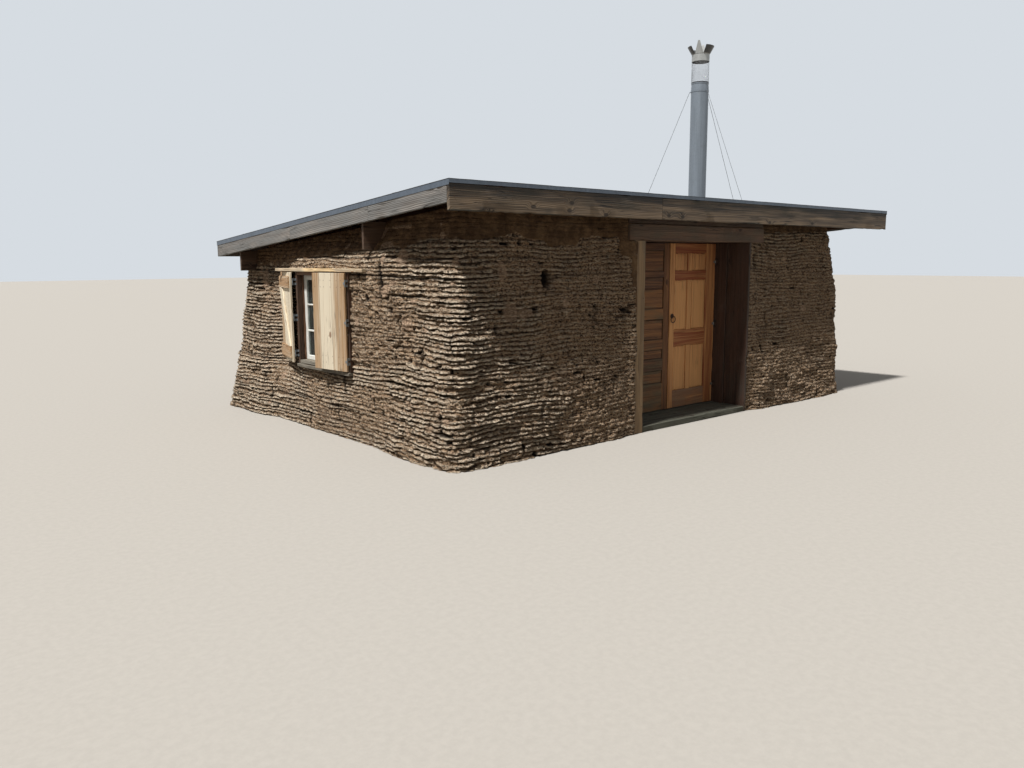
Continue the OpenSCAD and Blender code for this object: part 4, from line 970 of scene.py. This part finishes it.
half_joint = 0.001
planed = {"edge": 0.005, "wear": 0.003, "pitch": 0.06}
lining = Boards(314)
for node, tone_front, tone_back in (("door_lining_left", 0.5, 0.4), ("door_lining_right", 0.55, 0.65)):
    low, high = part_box(node)
    middle = (low.y + high.y) / 2
    lining.add(low, (high.x, middle - 2 * half_joint, high.z), 2, tone=tone_front, weather=0.12, **planed)
    lining.add((low.x, middle + 2 * half_joint, low.z), high, 2, tone=tone_back, **planed)
lining.piece("lining_boards", "house", lining_wood, "dark_timber",
             "door_lining_left", "door_lining_right")

jamb = Boards(315)
jamb.add(*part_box("door_jamb_left"), 2, tone=0.4, wear=0.002, pitch=0.06)
jamb.lay(*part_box("door_head"), 0, 1, width=0.225, gap=0.003, length=4.0, wear=0.002)
jamb.piece("jamb_and_head", "house", lining_wood, "dark_timber", "door_jamb_left", "door_head")


# Door leaves
# Two old panelled doors that never matched: a dark one with lying panels on the left, and a
# honey-coloured one of six panels on the right. Bevelled panels are held between the rails.
leaf_bevel = (0.024, 0.005)
panel_thickness = 0.014
field_margin = 0.012
field_recess = 0.005
rail_recess = 0.0008
mullion_recess = 0.001
honey_wood = timber("honey_wood", (232, 172, 112), (140, 72, 38), (150, 126, 100), weather=0.05, knots=0.0,
                    cracks=0.35, relief=0.0008, gloss=0.45)
brown_wood = timber("brown_wood", (150, 104, 64), (72, 42, 26), (120, 108, 86), weather=0.12, knots=0.1,
                    cracks=0.7, relief=0.0012, gloss=0.35)


def door_leaf(node, seed, stile_left, stile_right, rails, fields, mullion=None):
    """Stiles, rails and bevelled panels of a leaf. Heights are above the leaf's foot.

    A stile is a width and a tone, a rail a foot, a head, a tone and a weather value, and a field
    the same with the axis of its grain. The mullion runs between two places from the left edge.
    """
    low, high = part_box(node)
    leaf = Boards(seed)
    middle = (low.y + high.y) / 2
    inner_left, inner_right = low.x + stile_left[0], high.x - stile_right[0]
    leaf.add(low, (inner_left, high.y, high.z), 2, tone=stile_left[1], wear=0.0006)
    leaf.add((inner_right, low.y, low.z), high, 2, tone=stile_right[1], wear=0.0006)
    for bottom, top, tone, weather in rails:
        leaf.add((inner_left, low.y + rail_recess, low.z + bottom),
                 (inner_right, high.y - rail_recess, low.z + top), 0, tone=tone, weather=weather,
                 wear=0.0006, edge=0.002)
    spans = [(inner_left, inner_right)]
    if mullion:
        spans = [(inner_left, low.x + mullion[0]), (low.x + mullion[1], inner_right)]
    for bottom, top, tone, weather, run in fields:
        if mullion:
            leaf.add((low.x + mullion[0], low.y + mullion_recess, low.z + bottom),
                     (low.x + mullion[1], high.y - mullion_recess, low.z + top), 2, tone=tone - 0.1,
                     wear=0.0006)
        for first, last in spans:
            leaf.add((first, middle - panel_thickness / 2, low.z + bottom),
                     (last, middle + panel_thickness / 2, low.z + top), run, tone=tone - 0.3,
                     weather=weather, wear=0.0004)
            for side in (-1, 1):
                deep = middle + side * (panel_thickness / 2 - 0.004)
                face = middle + side * ((high.y - low.y) / 2 - field_recess)
                leaf.add((first + field_margin, min(deep, face), low.z + bottom + field_margin),
                         (last - field_margin, max(deep, face), low.z + top - field_margin), run,
                         tone=tone, weather=weather, bevel=leaf_bevel, wear=0.0004)
    return leaf


honey_leaf = door_leaf(
    "door_leaf_right", 321, (0.092, 0.75), (0.190, 0.42),
    [(0.0, 0.215, 0.35, 0.45), (0.775, 0.972, 0.22, 0.0), (1.588, 1.700, 0.12, 0.0),
     (1.916, 2.034, 0.15, 0.0)],
    [(0.215, 0.775, 0.95, 0.0, 2), (0.972, 1.588, 1.0, 0.0, 2), (1.700, 1.916, 0.72, 0.0, 2)],
    mullion=(0.345, 0.432))
honey_leaf.piece("honey_leaf", "right_door", honey_wood, "honey_door", "door_leaf_right", sharp=5)
brown_leaf = door_leaf(
    "door_leaf_left", 322, (0.105, 0.5), (0.105, 0.45),
    [(0.0, 0.340, 0.72, 0.38), (0.500, 0.640, 0.15, 0.25), (0.754, 0.876, 0.55, 0.1),
     (1.122, 1.251, 1.0, 0.2), (1.630, 1.700, 0.22, 0.0), (1.950, 2.034, 0.2, 0.0)],
    [(0.340, 0.500, 0.5, 0.2, 0), (0.640, 0.754, 0.45, 0.0, 0), (0.876, 1.122, 0.6, 0.0, 0),
     (1.251, 1.490, 0.66, 0.0, 0), (1.490, 1.630, 0.3, 0.0, 0), (1.700, 1.950, 0.42, 0.0, 0)])
brown_leaf.piece("brown_leaf", "left_door", brown_wood, "brown_door", "door_leaf_left", sharp=5)

dark_iron = sheet_metal("dark_iron", (70, 66, 62), (74, 50, 38), spangle=0.1, stains=0.35, metallic=0.7,
                        relief=0.001)
bright_iron = sheet_metal("bright_iron", (150, 148, 142), (104, 92, 80), spangle=0.2, stains=0.3,
                          metallic=0.8)


def keep(node, material):
    """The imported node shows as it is, in its finished material."""
    nodes[node].data.materials.clear()
    nodes[node].data.materials.append(material)
    nodes[node].data.set_sharp_from_angle(angle=math.radians(35))


for node in ("door_ring_pull", "door_hinges_left", "door_hinge_plates"):
    keep(node, dark_iron)
keep("door_hinges_right", bright_iron)
pull_low, pull_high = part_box("door_ring_pull")
pull_x = (pull_low.x + pull_high.x) / 2
plate_radius = 0.030
plate_thickness = 0.006
screw_circle = 0.022
pull_z = pull_high.z - plate_radius
pull_screws = Heads()
for turn in range(4):
    x, z, y = on_ring(screw_circle, (turn + 0.5) / 4, pull_high.y - plate_thickness)
    pull_screws.add((pull_x + x, y, pull_z + z), (0, -1, 0), radius=0.0035)
pull_screws.piece("pull_screws", "right_door", bright_iron, "dark_iron")


# Window
# A box of dark planks through the wall, with a weathered sill and a pale pine board laid over
# it. Inside sits a white painted sash of six panes with old glass.
frame_wood = timber("frame_wood", (126, 92, 68), (66, 46, 34), (98, 84, 72), weather=0.15, knots=0.2)
ledge_wood = timber("ledge_wood", (148, 134, 114), (82, 70, 58), (124, 118, 106), weather=0.5, cracks=1.0)
pine_wood = timber("pine_wood", (232, 204, 158), (178, 136, 88), (190, 176, 152), weather=0.12, knots=0.7,
                   cracks=0.4)
plank = 0.040
side_cuts = (0.062, 0.29, 0.53)
sides = Boards(331)
for low_y in (window_low.y, window_high.y - plank):
    cuts = (window_low.x, *(window_low.x + cut for cut in side_cuts), window_high.x)
    for a, b, tone in zip(cuts, cuts[1:], (0.1, 0.75, 0.5, 0.6)):
        sides.add((a + half_joint, low_y, window_low.z), (b - half_joint, low_y + plank, window_high.z),
                  2, tone=tone, wear=0.002, pitch=0.05)


def lying_planks(boards, low_z):
    boards.lay((window_low.x, window_low.y + plank, low_z),
               (window_high.x, window_high.y - plank, low_z + plank), 1, 0, width=0.19, gap=0.002,
               length=3.0, wear=0.002)


lying_planks(sides, window_high.z - plank)
sides.piece("window_planks", "house", frame_wood, "dark_timber", "window_frame")
bottom = Boards(335)
lying_planks(bottom, window_low.z)
bottom.piece("window_bottom", "house", ledge_wood, "dark_timber")
ledge = Boards(332)
ledge.lay(*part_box("window_sill"), 1, 0, width=0.20, gap=0.002, length=3.0, edge=0.005, wear=0.004,
          pitch=0.05)
ledge.piece("window_ledge", "house", ledge_wood, "weathered_board", "window_sill")
over_low, over_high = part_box("window_drip_board")
over_width, over_gap = 0.135, 0.003
over = Boards(333)
over.add(over_low, (over_low.x + over_width, over_high.y, over_high.z), 1, tone=0.7, edge=0.004,
         wear=0.003, pitch=0.05, weather=(0.8, 0.9, 0.3, -0.3, -0.3, 0.1, 0.7, 0.8, 0.6))
over.add((over_low.x + over_width + over_gap, over_low.y, over_low.z), over_high, 1, tone=0.4, edge=0.004,
         wear=0.003)
over.piece("board_over_window", "house", pine_wood, "pine_board", "window_drip_board")

sash_paint, net, shader = new_material("sash_paint")
place = net.place()
brushed = net.noise(net.vector("MULTIPLY", place, (90, 90, 9)), 1.0, 4.0, 0.6)
flaked = net.band(net.noise(place, 38.0, 5.0, 0.7), 0.66, 0.72)
tone = net.mix(net.band(brushed, 0.3, 0.7), srgb(214, 212, 202), srgb(238, 237, 230))
tone = net.mix(net.times(flaked, 0.7), tone, srgb(128, 110, 90))
height = net.times_plus(flaked, -2.0, brushed)
dress(net, shader, tone, net.times_plus(flaked, 0.3, 0.45), height, 0.5, 0.0008)
sash_low, sash_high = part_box("window_sash")
rail = 0.055
bar = 0.022
bar_back, bar_front = 0.002, 0.003
pane_columns = 2
pane_rows = 3
sash = Boards(334)
for y in (sash_low.y, sash_high.y - rail):
    sash.add((sash_low.x, y, sash_low.z), (sash_high.x, y + rail, sash_high.z), 2, bevel=(0.006, 0.006),
             wear=0.0006)
for z in (sash_low.z, sash_high.z - rail):
    sash.add((sash_low.x, sash_low.y + rail, z), (sash_high.x, sash_high.y - rail, z + rail), 1,
             bevel=(0.006, 0.006), wear=0.0006)
for run, across, panes in ((2, 1, pane_columns), (1, 2, pane_rows)):
    opening = sash_high[across] - sash_low[across] - 2 * rail
    for i in range(1, panes):
        low = sash_low + Vector((bar_back, rail, rail))
        high = sash_high - Vector((bar_front, rail, rail))
        low[across] = sash_low[across] + rail + i * (opening - (panes - 1) * bar) / panes + (i - 1) * bar
        high[across] = low[across] + bar
        sash.add(low, high, run, bevel=(0.006, 0.010), wear=0.0004)
sash.piece("painted_sash", "house", sash_paint, "sash_paint", "window_sash")

old_glass, net, shader = new_material("old_glass")
place = net.place()
dusty = net.noise(place, 12.0, 4.0, 0.65)
tone = net.mix(net.band(dusty, 0.35, 0.75), srgb(206, 216, 212), srgb(176, 182, 176))
dress(net, shader, tone, net.band(dusty, 0.45, 0.9, 0.02, 0.25), net.noise(place, 7.0, 1.0), 0.3, 0.004)
shader.inputs["Transmission Weight"].default_value = 0.95
shader.inputs["IOR"].default_value = 1.5
keep("window_glass", old_glass)


# Shutters
# Each is four sawn pine boards, held inside by two battens and a slanting brace, and hung on
# butt hinges. The near one stands a little open, and the far one lies back against the wall.
shutter_wood = timber("shutter_wood", (230, 216, 190), (168, 132, 94), (190, 180, 160), weather=0.06,
                      knots=0.10, cracks=0.7)
pin_x = -4.015
near_open = math.radians(7)
far_open = math.radians(195)
hinge_gap = 0.003
first_board = 0.012
shutter_thickness = 0.024
batten_thickness = 0.022
batten_height = 0.140
batten_side = 0.052
batten_end = 0.012
shutter_foot = window_low.z + 0.008
shutter_head = window_high.z - 0.008
near_boards = ((0.120, (0.0, 0.4)), (0.118, (0.4, 0.6)), (0.214, 1.15), (0.126, 0.2))
far_boards = ((0.145, 0.9), (0.140, 1.0), (0.148, 1.0), (0.145, 0.15))
nail_places = (0.075, 0.15, 0.26, 0.38, 0.44, 0.54)
nail_rises = (0.035, 0.105)


def hung(pin_y, open_angle, flip):
    """Turns boards drawn closed, with the pin on the Z axis, to where the shutter hangs."""
    turn = Matrix.Rotation(-open_angle if flip else open_angle, 3, "Z")

    def shape(points):
        placed = points * np.array([1, -1 if flip else 1, 1])
        return placed @ np.array(turn).T + np.array([pin_x, pin_y, 0])

    return shape


def shutter(body, seed, shape, flip, boards_across):
    """Upright boards, each a width and its tone, with two battens, a brace and their nails."""
    boards = Boards(seed, mirrored=flip)
    back = hinge_gap + shutter_thickness
    at = first_board
    for width, tone in boards_across:
        boards.add((hinge_gap, at + half_joint, shutter_foot),
                   (back, at + width - half_joint, shutter_head), 2, tone=tone, wear=0.0015, edge=0.002,
                   pitch=0.04, shape=shape)
        at += width
    inside = back + batten_thickness
    low_z = window_low.z + batten_side
    high_z = window_high.z - batten_side
    free = shutter_width - batten_end
    for z in (low_z, high_z - batten_height):
        boards.add((back, batten_side, z), (inside, free, z + batten_height), 1, tone=0.10, wear=0.0015,
                   pitch=0.05, shape=shape)
    rise = high_z - low_z - 2 * batten_height
    sway = free - batten_side - batten_height

    def slanted(points):
        moved = points.copy()
        moved[:, 1] += (points[:, 2] - low_z - batten_height) / rise * sway
        return shape(moved)

    boards.add((back, batten_side, low_z + batten_height), (inside, batten_side + batten_height,
               high_z - batten_height), 2, tone=1.2, wear=0.001, pitch=0.04, shape=slanted)
    boards.piece(body + "_boards", body, shutter_wood, "pine_board",
                 "shutter_" + body.removesuffix("_shutter"))
    heads = Heads()
    for z in (low_z, high_z - batten_height):
        for y in nail_places:
            for up in nail_rises:
                place = shape(np.array([[hinge_gap, y, z + up], [0.0, y, z + up]]))
                heads.add(place[0], place[1] - place[0], radius=0.004)
    heads.piece(body + "_nails", body, nail_iron, "dark_iron")


shutter("near_shutter", 341, hung(window_low.y, near_open, False), False, near_boards)
shutter("far_shutter", 342, hung(window_high.y, far_open, True), True, far_boards)
zinc_plate = sheet_metal("zinc_plate", (122, 126, 128), (90, 88, 82), spangle=0.2, stains=0.0, metallic=0.35)
for node in ("shutter_hinges_near", "shutter_hinges_far", "window_hinge_plates"):
    keep(node, zinc_plate)


# Roof frame
# Rough-sawn rafters stand on the walls and on two long beams on edge. Red-brown planks are
# nailed across them, and show from below under the eaves.
beam_wood = timber("beam_wood", (104, 82, 64), (60, 44, 34), (112, 100, 86), weather=0.3, cracks=0.9)
rafter_wood = timber("rafter_wood", (122, 86, 60), (70, 46, 32), (106, 92, 78), weather=0.1)
deck_wood = timber("deck_wood", (142, 84, 56), (80, 44, 30), (104, 84, 68), weather=0.1, knots=0.6)


def on_slope(points):
    """Takes points with z as a height from the top of the roof to their place on its slope."""
    placed = points.copy()
    placed[:, 2] += roof_top(points[:, 1])
    return placed


beams = Boards(351)
for node in ("beam_mid", "beam_rear"):
    low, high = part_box(node)
    beams.add(low, (high.x, high.y, high.z - 0.003), 0, tone=0.5, edge=0.004, wear=0.003, pitch=0.12)
beams.piece("roof_beams", "house", beam_wood, "dark_timber", "beam_mid", "beam_rear")
rafter_low, rafter_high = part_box("rafters")
rafter_count = 13
rafter_thickness = 0.038
rafter_top, rafter_under = -0.0384, -0.1780
rafter_pitch = (rafter_high.x - rafter_low.x - rafter_thickness) / (rafter_count - 1)
rafters = Boards(352)
for i in range(rafter_count):
    x = rafter_low.x + i * rafter_pitch
    rafters.add((x, rafter_low.y, rafter_under), (x + rafter_thickness, rafter_high.y, rafter_top), 1,
                wear=0.002, pitch=0.2, shape=on_slope)
rafters.piece("rafter_timbers", "house", rafter_wood, "dark_timber", "rafters")
deck_low, deck_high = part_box("roof_deck")
deck_top, deck_under = -0.0084, -0.0380
deck = Boards(353)
deck.lay((deck_low.x, deck_low.y, deck_under), (deck_high.x, deck_high.y, deck_top), 0, 1, width=0.185,
         gap=0.004, length=3.1, wear=0.002, pitch=0.3, shape=on_slope)
deck.piece("deck_planks", "house", deck_wood, "roof_plank", "roof_deck")


# Fascia boards
# Sawn boards nailed to the rafters' ends and along the outer rafters. The sun has bleached the
# left one grey. The deep front ones are weathered brown, darker towards the top and paler along
# their lower edge, and their colours are darkened further as painted shade.
# Its dark and grey colours are darker than the weathered wood's own: painted shade.
shaded_front_fascia_wood = timber("shaded_front_fascia_wood", (146, 126, 104), (40, 36, 33), (76, 76, 70), weather=0.28,
                           knots=0.35, cracks=1.0, relief=0.002)
side_fascia_wood = timber("side_fascia_wood", (156, 147, 138), (98, 92, 87), (128, 127, 124), weather=0.5,
                          knots=0.15, cracks=1.0, relief=0.0012)
fascia_top, front_foot_drop, side_foot_drop = -0.0384, -0.2730, -0.2030
side_joints = (-1.25, 0.45)
back_length = 3.9
fascia_thickness = 0.038
sawn = {"edge": 0.004, "wear": 0.004, "shape": on_slope}
fascia = Boards(361)
for node, tone in (("fascia_front_left", (1.0, 0.0)), ("fascia_front_right", (0.8, 0.05))):
    low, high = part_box(node)
    fascia.add((low.x + half_joint, low.y, front_foot_drop), (high.x - half_joint, high.y, fascia_top), 0,
               tone=tone, pitch=0.06, **sawn)
fascia.piece("front_fascia", "house", shaded_front_fascia_wood, "weathered_board",
             "fascia_front_left", "fascia_front_right")
fascia = Boards(362)
for node in ("fascia_left", "fascia_right"):
    low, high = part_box(node)
    cuts = (low.y, *side_joints, high.y)
    for a, b, tone in zip(cuts, cuts[1:], (0.45, 0.6, 0.5)):
        fascia.add((low.x, a + half_joint, side_foot_drop), (high.x, b - half_joint, fascia_top), 1,
                   tone=tone, pitch=0.06, **sawn)
low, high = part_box("fascia_back")
for a, b in ((low.x, low.x + back_length), (low.x + back_length + 2 * half_joint, high.x)):
    fascia.add((a, low.y, side_foot_drop), (b, high.y, fascia_top), 0, tone=0.4, pitch=0.1, **sawn)
fascia.piece("side_fascia", "house", side_fascia_wood, "weathered_board",
             "fascia_left", "fascia_right", "fascia_back")
nail_depths = (0.08, 0.15)
fascia_nails = Heads()
for i in range(rafter_count):
    x = rafter_low.x + rafter_thickness / 2 + i * rafter_pitch
    for y, side in ((rafter_low.y - fascia_thickness, -1), (rafter_high.y + fascia_thickness, 1)):
        for depth in nail_depths:
            fascia_nails.add((x, y, roof_top(y) - depth), (0, side, 0))
fascia_nails.piece("fascia_nails", "house", nail_iron, "dark_iron")


# Metal edge and roofing felt
# Strips of galvanised sheet are bent over the edge of the deck all round and lapped at their
# ends. Over them lie black felt strips, rolled out along the roof and tarred at the laps.
edge_metal = sheet_metal("edge_metal", (100, 109, 120), (84, 86, 88), spangle=0.35, stains=0.05,
                         metallic=0.45)
metal_low, metal_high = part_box("roof_edge_trim")
sheet = 0.002
flange = 0.060
sheet_top, sheet_under = -0.0062, -0.0080
front_drop, side_drop = -0.0400, -0.0560
trim = Boards(371)


def strip(low, high, run, laps):
    """A run of sheet in lapped lengths."""
    length = (high[run] - low[run]) / laps
    for i in range(laps):
        first, last = list(low), list(high)
        first[run] = low[run] + i * length + 0.0005
        last[run] = low[run] + (i + 1) * length - 0.0005
        trim.add(first, last, run, edge=0.0004, wear=0.0003, pitch=0.2, shape=on_slope)


for low_x, high_x in ((metal_low.x, metal_low.x + flange), (metal_high.x - flange, metal_high.x)):
    strip((low_x, metal_low.y, sheet_under), (high_x, metal_high.y, sheet_top), 1, 2)
for low_y, high_y in ((metal_low.y, metal_low.y + flange), (metal_high.y - flange, metal_high.y)):
    strip((metal_low.x + flange, low_y, sheet_under), (metal_high.x - flange, high_y, sheet_top), 0, 3)
for low_x in (metal_low.x, metal_high.x - sheet):
    strip((low_x, metal_low.y, side_drop), (low_x + sheet, metal_high.y, sheet_top), 1, 2)
for low_y, drop in ((metal_low.y, front_drop), (metal_high.y - sheet, side_drop)):
    strip((metal_low.x, low_y, drop), (metal_high.x, low_y + sheet, sheet_top), 0, 3)
trim.piece("metal_edge", "house", edge_metal, "galvanised", "roof_edge_trim")

felt, net, shader = new_material("roof_felt")
place = net.place()
granules = net.noise(place, 420.0, 2.0, 0.7)
faded = net.noise(place, 1.7, 5.0, 0.6)
dust = net.noise(net.vector("MULTIPLY", place, (1, 2.5, 1)), 1.3, 7.0, 0.65)
tone = net.mix(net.band(granules, 0.35, 0.65), srgb(40, 40, 42), srgb(84, 84, 86))
tone = net.mix(net.times(net.band(faded, 0.4, 0.7), 0.4), tone, srgb(102, 100, 98))
tone = net.mix(net.times(net.band(dust, 0.46, 0.80), 0.45), tone, srgb(120, 110, 97))
dress(net, shader, tone, 0.92, granules, 0.6, 0.002)
tar, net, shader = new_material("lap_tar")
smear = net.noise(net.place(), 24.0, 4.0, 0.6)
tone = net.mix(net.band(smear, 0.4, 0.7), srgb(24, 23, 23), srgb(58, 55, 52))
dress(net, shader, tone, net.band(smear, 0.3, 0.8, 0.60, 0.85), smear, 0.5, 0.002)

felt_rows = 6
felt_top, felt_under = -0.0016, -0.0060
base_inset = flange + 0.01
base_top, base_under = -0.0062, -0.0079
lap_top, lap_under = -0.0003, -0.0022
lap_front, lap_back = 0.035, 0.030
felt_step = (roof_high.y - roof_low.y) / felt_rows
felt_strips = Boards(372)
for row in range(felt_rows):
    y = roof_low.y + row * felt_step
    felt_strips.add((roof_low.x, y, felt_under), (roof_high.x, y + felt_step, felt_top), 0, edge=0.001,
                    wear=0.0010, pitch=0.12, shape=on_slope)
felt_strips.add((roof_low.x + base_inset, roof_low.y + base_inset, base_under),
                (roof_high.x - base_inset, roof_high.y - base_inset, base_top), 0, pitch=0.5, wear=0.0,
                edge=0.0005, shape=on_slope)
felt_strips.piece("felt_strips", "house", felt, "roofing_felt", "roof_covering")
laps = Boards(373)
for row in range(1, felt_rows):
    y = roof_low.y + row * felt_step
    laps.add((roof_low.x + 0.002, y - lap_front, lap_under), (roof_high.x - 0.002, y + lap_back, lap_top),
             0, edge=0.0006, wear=0.0006, pitch=0.06, shape=on_slope)
laps.piece("felt_laps", "house", tar, "roofing_felt")


# Chimney
# An insulated pipe of dull galvanised steel, through a coned flashing. A band near its top
# holds three wires. Over it stand a mesh screen and a ring with four petals. The two side
# petals and the ring's inner face are darkened: partly soot, partly painted shade.
wire_steel = sheet_metal("wire_steel", (112, 114, 116), (84, 76, 68), spangle=0.1, stains=0.2, metallic=0.8)
pipe_low, pipe_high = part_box("chimney_pipe")
pipe_x = (pipe_low.x + pipe_high.x) / 2
pipe_y = (pipe_low.y + pipe_high.y) / 2
pipe_radius = (pipe_high.x - pipe_low.x) / 2
pipe_wall = 0.025
front_petal = math.radians(-155)
cap_ring_rise = 0.090
cap_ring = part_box("spark_screen")[1].z + cap_ring_rise


def rim_soot(net, place):
    """Smoke has blackened the last few centimetres of the pipe, unevenly."""
    height = net.add("SeparateXYZ", {0: place}).outputs[2]
    height = net.times_plus(net.noise(place, 18.0, 3.0, 0.6), 0.020, height)
    return net.times(net.band(height, pipe_high.z - 0.012, pipe_high.z + 0.004), 0.9)


def petal_shade_and_soot(net, place):
    """Darkens the two side petals and the ring's inner face: partly soot, partly painted shade."""
    from_axis = net.vector("SUBTRACT", place, (pipe_x, pipe_y, cap_ring)).outputs[0]
    across = (-math.sin(front_petal), math.cos(front_petal), 0)
    reach = net.add("VectorMath", {0: from_axis, 1: across}, operation="DOT_PRODUCT").outputs["Value"]
    reach = net.band(net.math("ABSOLUTE", reach), 0.045, 0.065)
    height = net.add("SeparateXYZ", {0: from_axis}).outputs[2]
    outward = net.add("VectorMath", {0: net.vector("MULTIPLY", from_axis, (1, 1, 0))},
                      operation="LENGTH").outputs["Value"]
    inside = net.band(outward, pipe_radius - 0.0010, pipe_radius - 0.0016)
    blackened = net.math("MAXIMUM", inside, net.times(reach, net.band(height, 0.0, 0.02)))
    return net.times(blackened, 0.85)


pipe_metal = sheet_metal("pipe_metal", (132, 140, 148), (106, 108, 108), spangle=0.15, stains=0.02,
                         metallic=0.30, soot_and_shade=rim_soot)
cap_metal = sheet_metal("cap_metal", (178, 178, 174), (120, 112, 102), spangle=0.2, stains=0.10,
                        metallic=0.35, soot_and_shade=petal_shade_and_soot)


def turned(name, profile, segments, material, dents=0.0):
    """A closed piece of sheet metal turned round the pipe's axis, from (radius, height) pairs."""
    profile = np.array(profile)
    a = np.linspace(0, 2 * math.pi, segments, endpoint=False)
    side = np.stack([np.cos(a), np.sin(a)], 1)
    points = np.zeros((len(profile), segments, 3))
    points[:, :, :2] = profile[:, None, :1] * side
    points[:, :, 2] = profile[:, 1:]
    flat = points.reshape(-1, 3)
    shrink = 1 - dents * (0.5 + 0.5 * lumps(flat, (0.12, 0.12, 0.3), 61))
    flat[:, :2] *= shrink[:, None]
    flat[:, :2] += (pipe_x, pipe_y)
    made = mesh_piece(name, flat.tolist(), ring_faces(len(profile), segments, True).tolist(), material)
    made.data.set_sharp_from_angle(angle=math.radians(35))
    return made


pipe_sides = 64
ring_step = 0.06
bead_reach = 0.05
bead = ((0.045, 0.003), (0.030, 0.003), (0.026, 0.0), (0.0, 0.0))
outer = [(pipe_radius, pipe_low.z)]
while outer[-1][1] + ring_step < pipe_high.z - bead_reach:
    outer.append((pipe_radius, outer[-1][1] + ring_step))
outer += [(pipe_radius - inset, pipe_high.z - down) for down, inset in bead]
inner_radius = pipe_radius - pipe_wall
inner = [(inner_radius, pipe_high.z), (inner_radius, pipe_low.z)]
pipe = turned("insulated_pipe", outer + inner, pipe_sides, pipe_metal, dents=0.004)
settle(pipe, "house", "galvanised", "chimney_pipe")

for node, material in (("chimney_flashing", pipe_metal), ("chimney_cap", cap_metal),
                       ("guy_band", pipe_metal), ("guy_stays", wire_steel)):
    keep(node, material)

screen_low, screen_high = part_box("spark_screen")
wire = 0.0006
screen_radius = (screen_high.x - screen_low.x) / 2 - 2 * wire
screen_columns = 60
screen_rows = 20
ring_sides = 48
points, faces = [], []


def bent_wire(path, closed):
    """A thin three-sided wire along path, added to points and faces."""
    first = len(points)
    count = len(path)
    for place in path:
        out = Vector((place[0], place[1], 0)).normalized()
        run = Vector((-out.y, out.x, 0)) if closed else Vector((0, 0, 1))
        side = out.cross(run)
        for turn in range(3):
            a = turn * 2 * math.pi / 3
            points.append(Vector(place) + wire * (math.cos(a) * out + math.sin(a) * side)
                          + Vector((pipe_x, pipe_y, 0)))
    for i in range(count if closed else count - 1):
        j = (i + 1) % count
        for k in range(3):
            n = (k + 1) % 3
            faces.append([first + 3 * i + k, first + 3 * j + k, first + 3 * j + n, first + 3 * i + n])
    if not closed:
        faces.append([first, first + 1, first + 2])
        faces.append([first + 3 * count - 1, first + 3 * count - 2, first + 3 * count - 3])


for column in range(screen_columns):
    bent_wire([on_ring(screen_radius, column / screen_columns, z)
               for z in (screen_low.z, screen_high.z)], False)
for row in range(screen_rows):
    z = screen_low.z + wire + row * (screen_high.z - screen_low.z - 2 * wire) / (screen_rows - 1)
    bent_wire([on_ring(screen_radius - wire, i / ring_sides, z) for i in range(ring_sides)], True)
settle(mesh_piece("mesh_screen", points, faces, wire_steel), "house", "stay_steel", "spark_screen")
